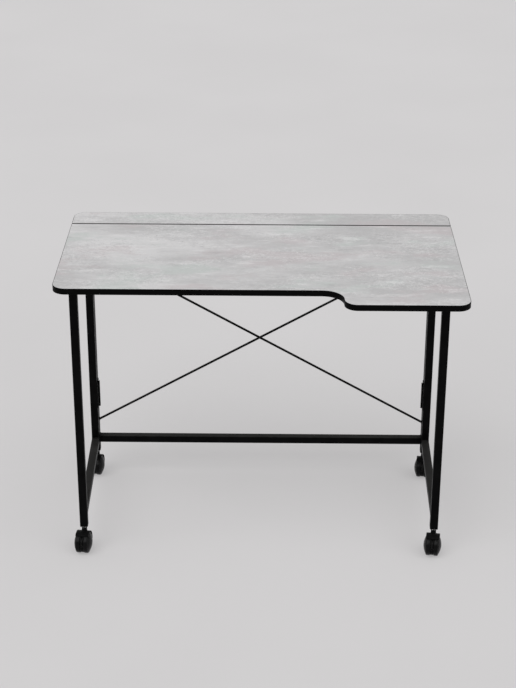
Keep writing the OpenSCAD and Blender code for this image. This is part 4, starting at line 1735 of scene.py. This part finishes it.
@dataclass
class SquarePlug(Assembly):
    """The plugs in the ends of the posts. A post's end is at z = 0, with the plug's head below it."""

    head_h: float = 3.0
    wall: float = 1.2
    fit: float = 0.1
    tube_r: float = 2.0
    in_r: float = 0.8
    in_ease: Point = (0.4, 0.8)
    round_r: float = 1.0
    round_steps: int = 4
    corner_follow: float = 0.3
    foot_l: float = 22.0
    top_l: float = 12.0
    neck_r: float = 4.05
    bore_r: float = 6.05
    flat_steps: int = 8
    corner_steps: int = 5

    def turns(self) -> list[float]:
        """Angles about a post's middle that give its round corners enough points.

        Returns:
            The angles in radians.
        """
        half, flats, corners = self.size.tube / 2, self.flat_steps, self.corner_steps
        edge = math.atan2(half - self.tube_r, half)
        quarter = [-edge + 2 * edge * step / flats for step in range(flats)]
        quarter += [edge + (math.pi / 2 - 2 * edge) * step / corners for step in range(corners)]
        return [turn + math.pi / 2 * side for side in range(4) for turn in quarter]

    def ring(self, half: float, radius: float, height: float) -> Ring:
        """A ring of points round a square with round corners, or round a circle where radius is half.

        Args:
            half: Half of the square's width.
            radius: Radius of its corners.
            height: Its height.

        Returns:
            The ring, in metres.
        """
        inner = half - radius
        ring = []
        for turn in self.turns():
            x, y = math.cos(turn), math.sin(turn)
            most, least = max(abs(x), abs(y)), min(abs(x), abs(y))
            reach = half / most
            if reach * least > inner:
                middle = inner * (most + least)
                reach = middle + math.sqrt(max(middle * middle - 2 * inner * inner + radius * radius, 0.0))
            ring.append(Vector((reach * x, reach * y, height)) * MM)
        return ring

    def plug(self, length: float, bored: bool) -> Mesh:
        """A plug: a closed cap on which the board rests, or a foot bored for a castor's stem and its insert.

        Args:
            length: How far it reaches into the post.
            bored: Whether it is a foot.

        Returns:
            The mesh.
        """
        half, inner = self.size.tube / 2, self.size.tube / 2 - self.wall - self.fit
        drawn, down = self.in_ease
        rows = [
            (inner - drawn, self.in_r, length), (inner, self.in_r, length - down), (inner, self.in_r, 0.0)
        ]
        rows.append((half, self.tube_r, 0.0))
        for across, along in arc((0, 0), self.round_r, 0, 90, self.round_steps):
            drawn = self.round_r - across
            radius = self.tube_r - self.corner_follow * drawn
            rows.append((half - drawn, radius, self.round_r - self.head_h - along))
        marks = [0.0] * 3 + [0.4] + [1.0] * self.round_steps + [0.4]
        if bored:
            bore = (
                (self.neck_r, -self.head_h), (self.neck_r, 0.0), (self.bore_r, 0.0),
                (self.bore_r, self.foot_l),
            )
            rows += [(radius, radius, z) for radius, z in bore]
            marks += [0.0] * len(bore)
        return Shape().loft([self.ring(*row) for row in rows], marks, closed=bored).mesh("plug")

    def place(
        self, name: str, body: str, node: str, posts: Sequence[str], foot: bool, turn: Matrix | None = None
    ) -> None:
        """Puts a plug in each of a row of posts.

        Args:
            name: Name of the piece.
            body: The body that it rides on.
            node: The node that the plugs stand for.
            posts: Nodes of the posts.
            foot: Whether the plugs go in the posts' feet.
            turn: How the posts are turned, if at all.
        """
        marks = []
        for post in posts:
            spot = centre(post, turn)
            spot.z = span(post, turn)[0 if foot else 1].z
            marks.append((spot * MM, Vector((0, 0, 1 if foot else -1)), Vector((1, 0, 0))))
        one = self.plug(self.foot_l if foot else self.top_l, foot)
        self.shop.repeat(one, marks, name, body, PLUG_PLASTIC, node, turn)

    def make(self) -> None:
        """Makes all plugs."""
        rear = [f"rear_post_{side.word}" for side in Side]
        self.place("rear_feet", REAR, "rear_foot_plugs", rear, True)
        for side in Side:
            word, turn = side.word, self.size.toe_in(side)
            posts = [f"{word}_side_front_post", f"{word}_side_rear_post"]
            self.place(f"{word}_foot", side.body, f"{word}_side_foot_plug", posts[:1], True, turn)
            self.place(f"{word}_caps", side.body, f"{word}_side_top_plugs", posts, False, turn)


@dataclass
class TwinCastor(Assembly):
    """The castors, each with two wheels under a hood.

    One is built with its stem on the Z axis and the floor at z = 0. Names in _a are angles in degrees round
    the axle, from the back over the top. Tables of points give radii and depths or distances from a surface.
    """

    wheel_r: float = 27.5
    trail: float = 17.0
    turn_deg: float = -8.0
    wheel_gap: float = 9.6
    tread_w: float = 32.0
    castor_w: float = 45.0
    rim_t: float = 6.0
    disc_t: float = 3.0
    hub_r: float = 6.5
    hub_ease: float = 0.4
    rim_ease: float = 0.5
    bore_r: float = 2.55
    bore_end: float = 16.9
    shoulder_r: float = 1.5
    shoulder_steps: int = 4
    outer_r: float = 3.6
    outer_stop_deg: float = 12.0
    outer_steps: int = 6
    wheel_count: int = 96
    wheel_sharp_deg: float = 40.0
    # Groove between tread and disc: in from its edge, and down from the tread's side
    groove: tuple[Point, ...] = ((0.0, 0.05), (0.15, 0.9), (1.1, 0.9))
    # Rings of the domed disc with its turned line: radius, and depth below the dome
    disc: tuple[Point, ...] = (
        (22.7, 0.2), (22.45, 0.0), (22.0, 0.0), (19.5, 0.0), (17.0, 0.0), (14.8, 0.0), (12.5, 0.0),
        (10.6, 0.0), (10.2, 0.12), (9.7, 0.45), (9.1, 0.45), (8.7, 0.1), (8.2, 0.02), (6.0, 0.02),
        (3.5, 0.02), (1.5, 0.02), (0.0, 0.02),
    )
    hood_in_r: float = 28.3
    hood_t: float = 1.4
    hood_w: float = 34.0
    hood_front_a: float = 120.0
    hood_back_a: float = -10.0
    hood_round: float = 0.55
    round_steps: int = 3
    hood_step: float = 2.5
    # Angles within the half circle of each lip
    lip_turns: tuple[float, ...] = (8.0, 30.0, 60.0, 90.0)
    web_w: float = 8.8
    web_r: float = 26.0
    web_ease: float = 0.5
    web_step: int = 5
    web_gap_a: int = 10
    fork_sharp_deg: float = 32.0
    # Fillets where the hood's lips meet the web: angle past the lip, and distance from the web's edge
    fillet: tuple[Point, ...] = ((1.6, 2.3), (2.6, 1.2), (4.0, 0.4), (6.0, 0.1))
    slot_a: float = 138.0
    slot_gap_a: float = 1.5
    slot_section: tuple[Point, ...] = ((-1.9, -2.2), (1.9, -2.2), (1.9, 4.0), (-1.9, 4.0))
    ring_a: float = 176.0
    ring_gap_a: float = 7.0
    ring_profile: tuple[Point, ...] = (
        (2.3, -1.0), (2.3, 0.55), (2.6, 0.9), (3.5, 0.9), (3.8, 0.55), (3.8, -1.0)
    )
    rib_section: tuple[Point, ...] = (
        (-1.2, -1.0), (1.2, -1.0), (1.2, 0.6), (0.8, 0.95), (-0.8, 0.95), (-1.2, 0.6)
    )
    bar_steps: int = 8
    collar_r: float = 6.7
    collar_z: float = 62.1
    collar_low: float = 48.0
    collar_ease: float = 0.5
    collar_count: int = 40
    # Flare of the collar's foot: outwards from the collar, and up from the hood
    flare: tuple[Point, ...] = ((2.6, -0.3), (1.5, 0.25), (0.75, 0.8), (0.25, 1.6), (0.0, 2.7))
    socket_r: float = 3.05
    socket_z: float = 29.2
    hexagon: float = 11.0
    hexagon_h: float = 4.6
    stem_top: float = 85.0
    stem_count: int = 72
    plug_z: float = 67.0
    thread_r: float = 4.0
    thread_ease: float = 1.0
    pin_r: float = 3.0
    pin_z: float = 29.5
    # The pin's tip: share of its radius, and height
    pin_tip: Point = (0.5, 0.8)
    # The hexagon's turned edges: share of its flats' radius, and distance from its lower or upper end
    nut_low: tuple[Point, ...] = ((0.98, 0.0), (1.08, 0.35), (1.2, 0.55))
    nut_high: tuple[Point, ...] = ((1.2, 0.5), (1.08, 0.3), (0.98, 0.05))
    stem_sharp_deg: float = 30.0

    @property
    def axle(self) -> Matrix:
        """The place of the axle, along which Z then lies."""
        return moved(0, -self.trail, self.wheel_r) @ rotated(90, "Y")

    def radial(self, angle: float, radius: float, x: float) -> Vector:
        """A point in metres, at an angle and a radius round the axle and at a distance from the middle."""
        turn = math.radians(angle)
        return Vector((x, radius * math.cos(turn) - self.trail, radius * math.sin(turn) + self.wheel_r)) * MM

    def wheel(self) -> Shape:
        """The right wheel, turned about the axle.

        Returns:
            The shape.
        """
        near, rim, far = self.wheel_gap / 2, self.tread_w / 2, self.castor_w / 2
        cavity, inner, hub = rim - self.disc_t, self.wheel_r - self.rim_t, self.hub_r
        r, wide = self.shoulder_r, self.outer_r
        dome_r, rise = self.wheel_r - wide, far - rim
        curve = (dome_r * dome_r + rise * rise) / (2 * rise)
        profile = [
            (self.bore_r, near), (hub - self.hub_ease, near), (hub, near + self.hub_ease), (hub, cavity)
        ]
        profile += [(inner, cavity), (inner, near + self.rim_ease), (inner + self.rim_ease, near)]
        shoulder = arc((near + r, self.wheel_r - r), r, 180, 90, self.shoulder_steps)
        shoulder += arc((rim - wide, self.wheel_r - wide), wide, 90, self.outer_stop_deg, self.outer_steps)
        profile += [(x, y) for y, x in shoulder]
        marks = [0.0] * 7 + [0.4] + [1.0] * (self.shoulder_steps + self.outer_steps) + [0.4]
        profile += [(dome_r - inwards, rim - sunk) for inwards, sunk in self.groove]
        profile += [(x, far - curve + math.sqrt(curve * curve - x * x) - sunk) for x, sunk in self.disc]
        profile += [(0.0, self.bore_end), (self.bore_r, self.bore_end)]
        marks += [0.0] * (len(profile) - len(marks))
        return Shape().add(turned(profile, self.wheel_count, marks, closed=True), self.axle)

    def hood(self) -> Shape:
        """The curved shell over the wheels, with round lips.

        Returns:
            The shape.
        """
        half, r, low, high = self.hood_w / 2, self.hood_round, self.hood_in_r, self.hood_in_r + self.hood_t
        section = []
        for x, y, start in (
            (half - r, high - r, 0), (r - half, high - r, 90), (r - half, low + r, 180),
            (half - r, low + r, 270),
        ):
            section += arc((x, y), r, start, start + 90, self.round_steps)
        middle, back, front = (low + high) / 2, self.hood_back_a, self.hood_front_a
        lip = math.degrees(self.hood_t / 2 / middle)
        ends = [(lip * (1 - math.cos(turn)), math.sin(turn)) for turn in map(math.radians, self.lip_turns)]
        count = round((front - back) / self.hood_step)
        along = [back + (front - back) * step / count for step in range(count + 1)]
        places = [(back + past, share) for past, share in ends]
        places += [(angle, 1.0) for angle in along if back + lip < angle < front - lip]
        places += [(front - past, share) for past, share in reversed(ends)]
        shape = Shape().loft([
            [self.radial(angle, middle + (radius - middle) * share, x) for x, radius in section]
            for angle, share in places
        ])
        shape.edge = ([0.0, 1.0, 1.0, 0.0] * 2 + [0.0] * 8) * len(places)
        return shape

    def web(self) -> Shape:
        """The plate between the wheels, which carries the axle and the hood.

        Returns:
            The shape.
        """
        half, ease, back, front = self.web_w / 2, self.web_ease, int(self.hood_back_a), int(self.hood_front_a)
        outline = [
            (angle, self.hood_in_r + self.hood_t / 2) for angle in range(back, front + 1, self.web_step)
        ]
        outline += [(front + past, self.web_r + out) for past, out in self.fillet]
        below = range(front + self.web_gap_a, 360 + back - self.web_gap_a + 1, self.web_step)
        outline += [(angle, self.web_r) for angle in below]
        outline += [(360 + back - past, self.web_r + out) for past, out in reversed(self.fillet)]
        corner = ((half, ease), (half - 0.3 * ease, 0.3 * ease), (half - ease, 0.0))
        rings = [
            [self.radial(angle, radius - inset, x) for angle, radius in outline]
            for x, inset in [(-x, inset) for x, inset in corner] + [*reversed(corner)]
        ]
        return Shape().loft(rings, [0.0, 1.0, 0.0, 0.0, 1.0, 0.0])

    def collar(self) -> Shape:
        """The collar round the stem, which flares into the hood.

        Returns:
            The shape.
        """
        top, ease, count, rings = self.collar_z, self.collar_ease, self.collar_count, []
        for out, above in self.flare:
            ring = circle_ring(self.collar_r + out, 0.0, count)
            for point in ring:
                reach = self.hood_in_r + self.hood_t
                point.z = (self.wheel_r + math.sqrt(reach**2 - (point.y / MM + self.trail) ** 2) + above) * MM
            rings.append(ring)
        for radius, z in (
            (self.collar_r, top - ease), (self.collar_r - 0.3 * ease, top - 0.3 * ease),
            (self.collar_r - ease, top), (self.socket_r, top), (self.socket_r, self.collar_low),
        ):
            rings.append(circle_ring(radius, z, count))
        return Shape().loft(rings, [0.0] * len(self.flare) + [0.6, 1.0, 0.5, 0.0, 0.0], closed=True)

    def bar(self, section: Sequence[Point], start: float, end: float) -> Shape:
        """A bar that follows the web's edge.

        Args:
            section: Its section: distance from the castor's middle and from the web's edge.
            start: Angle of its start.
            end: Angle of its end.

        Returns:
            The shape.
        """
        angles = [start + (end - start) * step / self.bar_steps for step in range(self.bar_steps + 1)]
        return Shape().loft(
            [[self.radial(angle, self.web_r + out, x) for x, out in section] for angle in angles]
        )

    def boss(self) -> Shape:
        """A moulded ring on the front edge of the web, with a rib that runs up from it.

        Returns:
            The shape.
        """
        rib = self.bar(self.rib_section, self.slot_a, self.ring_a - self.ring_gap_a)
        rib.edge = [0.0, 0.0, 0.8, 1.0, 1.0, 0.8] * (self.bar_steps + 1)
        turn = Matrix.Translation(self.radial(self.ring_a, self.web_r, 0.0)) @ rotated(self.ring_a - 90, "X")
        return rib.add(turned(self.ring_profile, 32, [0.0, 0.6, 1.0, 1.0, 0.6, 0.0], closed=True), turn)

    def cutter(self) -> Shape:
        """What is cut out of the fork: a slot in the web's edge, the stem's socket and the axle's bore.

        Returns:
            The shape.
        """
        slot = self.bar(self.slot_section, self.hood_front_a + self.slot_gap_a, self.slot_a)
        count = self.collar_count
        slot.add(turned([(self.socket_r, self.socket_z), (self.socket_r, self.collar_z + 1)], count))
        bore = turned([(self.bore_r, -self.web_w), (self.bore_r, self.web_w)], count)
        return slot.add(bore, self.axle)

    def stem(self) -> Shape:
        """The plated stem with its hexagon.

        Returns:
            The shape.
        """
        count, flat_r, low, top = self.stem_count, self.hexagon / 2, self.plug_z - self.hexagon_h, self.plug_z

        def hexagon(share: float, z: float) -> Ring:
            """A ring round the hexagon, cut to a circle.

            Args:
                share: The circle's radius as a share of the flats' radius.
                z: The ring's height.

            Returns:
                The ring.
            """
            turns = [math.tau * step / count for step in range(count)]
            reach = [
                min(flat_r / math.cos(turn % (math.pi / 3) - math.pi / 6), flat_r * share) for turn in turns
            ]
            return [Vector((r * math.cos(turn), r * math.sin(turn), z)) * MM for r, turn in zip(reach, turns)]

        narrow, rise = self.pin_tip
        pin = ((self.pin_r * narrow, self.pin_z), (self.pin_r, self.pin_z + rise), (self.pin_r, low))
        nut = [(share, low + up) for share, up in self.nut_low]
        nut += [(share, top - down) for share, down in self.nut_high]
        thread_r, ease = self.thread_r, self.thread_ease
        thread = (
            (thread_r, nut[-1][1]), (thread_r, self.stem_top - ease), (thread_r - ease, self.stem_top),
        )
        rings = [circle_ring(radius, z, count) for radius, z in pin] + [hexagon(*row) for row in nut]
        return Shape().loft(rings + [circle_ring(radius, z, count) for radius, z in thread])

    def make(self) -> None:
        """Makes the four castors and their stems."""
        parts = Shape()
        for part in (self.web(), self.hood()):
            parts.take(cut_away(part, self.cutter()))
        fork = parts.add(self.collar()).add(self.boss()).mesh("fork", self.fork_sharp_deg)
        wheel = self.wheel().mesh("wheel", self.wheel_sharp_deg)
        stem = self.stem().mesh("stem", self.stem_sharp_deg)
        stems: dict[str, Shape] = {"rear_castor_stems": Shape()}
        for corner in CORNERS:
            front, side = corner.startswith("front"), Side[corner.split("_")[1].upper()]
            turn = self.size.toe_in(side) if front else Matrix.Identity(4)
            spot = centre(f"{side.word}_side_front_post" if front else f"rear_post_{side.word}", turn)
            foot = turn @ moved(spot.x, spot.y, 0.0)
            place = foot @ rotated(self.turn_deg, "Z")
            finish_piece(
                fork.copy(), f"{corner}_fork", f"{corner}_castor", NYLON, [f"{corner}_castor_hood"], place
            )
            for hand in Side:
                flip = Matrix.Identity(4) if hand is Side.RIGHT else rotated(180, "Z")
                back, word = moved(0, -self.trail, 0), f"{corner}_{hand.word}"
                finish_piece(
                    wheel.copy(), f"{word}_roller", f"{word}_wheel", WHEEL_NYLON,
                    [f"{corner}_castor_{hand.word}_wheel"], place @ back @ flip @ back.inverted(),
                )
            made = stem.copy()
            made.transform(foot)
            stems.setdefault(f"{side.word}_side_castor_stem" if front else "rear_castor_stems", Shape()).take(
                made
            )
        for mesh in (fork, wheel, stem):
            bpy.data.meshes.remove(mesh)
        for node, shape in stems.items():
            word = node.split("_")[0]
            body = REAR if word == "rear" else Side[word.upper()].body
            finish_piece(shape.mesh(node, self.stem_sharp_deg), f"{word}_stems", body, ZINC, [node])


def dress_nodes() -> None:
    """Gives the CAD nodes that stay their finish."""
    kept = ["rear_stem_inserts", *(f"{side.word}_side_stem_insert" for side in Side)]
    for name in kept + [f"{corner}_castor_axle" for corner in CORNERS]:
        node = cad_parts[name]
        if not node.material_slots:
            node.data.materials.append(ZINC.material())
        for slot in node.material_slots:
            slot.material = ZINC.material()
        LOG.info("%s: kept as it is, in zinc", name)


# Studio


@dataclass(frozen=True)
class SoftLight:
    """A broad, soft lamp far away. Azimuth 0 is the front and 90 the right."""

    name: str
    azimuth_deg: float
    height_deg: float
    spread_deg: float
    strength: float

    def make(self) -> None:
        """Adds the lamp."""
        data = bpy.data.lights.new(self.name, "SUN")
        data.angle, data.energy = math.radians(self.spread_deg), self.strength
        around_z, up = math.radians(self.azimuth_deg), math.radians(self.height_deg)
        to_table = Vector(
            (-math.sin(around_z) * math.cos(up), math.cos(around_z) * math.cos(up), -math.sin(up))
        )
        add_object(self.name, data).rotation_euler = to_table.to_track_quat("-Z", "Y").to_euler()


@dataclass
class Studio:
    """Floor, light and camera."""

    floor_m: float = 60.0
    floor_cells: int = 24
    world_colour: Colour = (1.0, 1.0, 1.0, 1)
    world_strength: float = 0.5
    camera_mm: tuple[float, float, float] = (26.6, -3669.4, 2217.5)
    pitch_deg: float = 24.921
    yaw_deg: float = -0.493
    roll_deg: float = 0.197
    focal_px: float = 1617.6
    image_h: float = 688.0
    sensor: float = 36.0
    clip_m: Point = (0.05, 100.0)
    lights: tuple[SoftLight, ...] = (
        SoftLight("key", -40.0, 50.0, 50.0, 1.3), SoftLight("fill", 50.0, 40.0, 60.0, 0.9)
    )

    def floor(self) -> None:
        """Lays the floor as a fine grid."""
        mesh = bpy.data.meshes.new("studio_floor")
        work = bmesh.new()
        bmesh.ops.create_grid(
            work, x_segments=self.floor_cells, y_segments=self.floor_cells, size=self.floor_m / 2
        )
        work.to_mesh(mesh)
        work.free()
        mesh.materials.append(FLOOR.material())
        add_object("studio_floor", mesh)

    def world(self) -> None:
        """Sets the light that comes from all around."""
        made = bpy.data.worlds.new("studio")
        made.use_nodes = True
        background = made.node_tree.nodes["Background"]
        background.inputs["Color"].default_value = self.world_colour
        background.inputs["Strength"].default_value = self.world_strength
        bpy.context.scene.world = made

    def camera(self) -> None:
        """Places the camera as the photograph has it."""
        data = bpy.data.cameras.new("camera")
        data.sensor_fit, data.sensor_height = "VERTICAL", self.sensor
        data.lens = self.focal_px / self.image_h * self.sensor
        data.clip_start, data.clip_end = self.clip_m
        camera = add_object("camera", data)
        camera.location = Vector(self.camera_mm) * MM
        pitch, yaw = math.radians(self.pitch_deg), math.radians(self.yaw_deg)
        forward = Vector((math.sin(yaw) * math.cos(pitch), math.cos(yaw) * math.cos(pitch), -math.sin(pitch)))
        roll = Euler((0, 0, math.radians(self.roll_deg))).to_quaternion()
        camera.rotation_mode = "QUATERNION"
        camera.rotation_quaternion = forward.to_track_quat("-Z", "Y") @ roll
        bpy.context.scene.camera = camera

    def make(self) -> None:
        """Sets up the studio."""
        self.floor()
        self.world()
        for light in self.lights:
            light.make()
        self.camera()
        view = bpy.context.scene.view_settings
        view.view_transform, view.look = "Standard", "None"


def main() -> None:
    """Builds the table and its studio."""
    logging.basicConfig(level=logging.INFO, format="%(name)s: %(message)s", stream=sys.stdout)
    Studio().make()
    size, shop = Measures(), Workshop()
    for kind in (Tabletop, TubeFrames, CrossBrace, HingeSet, SquarePlug, TwinCastor):
        kind(size, shop).make()
    dress_nodes()


if __name__ == "__main__":
    main()
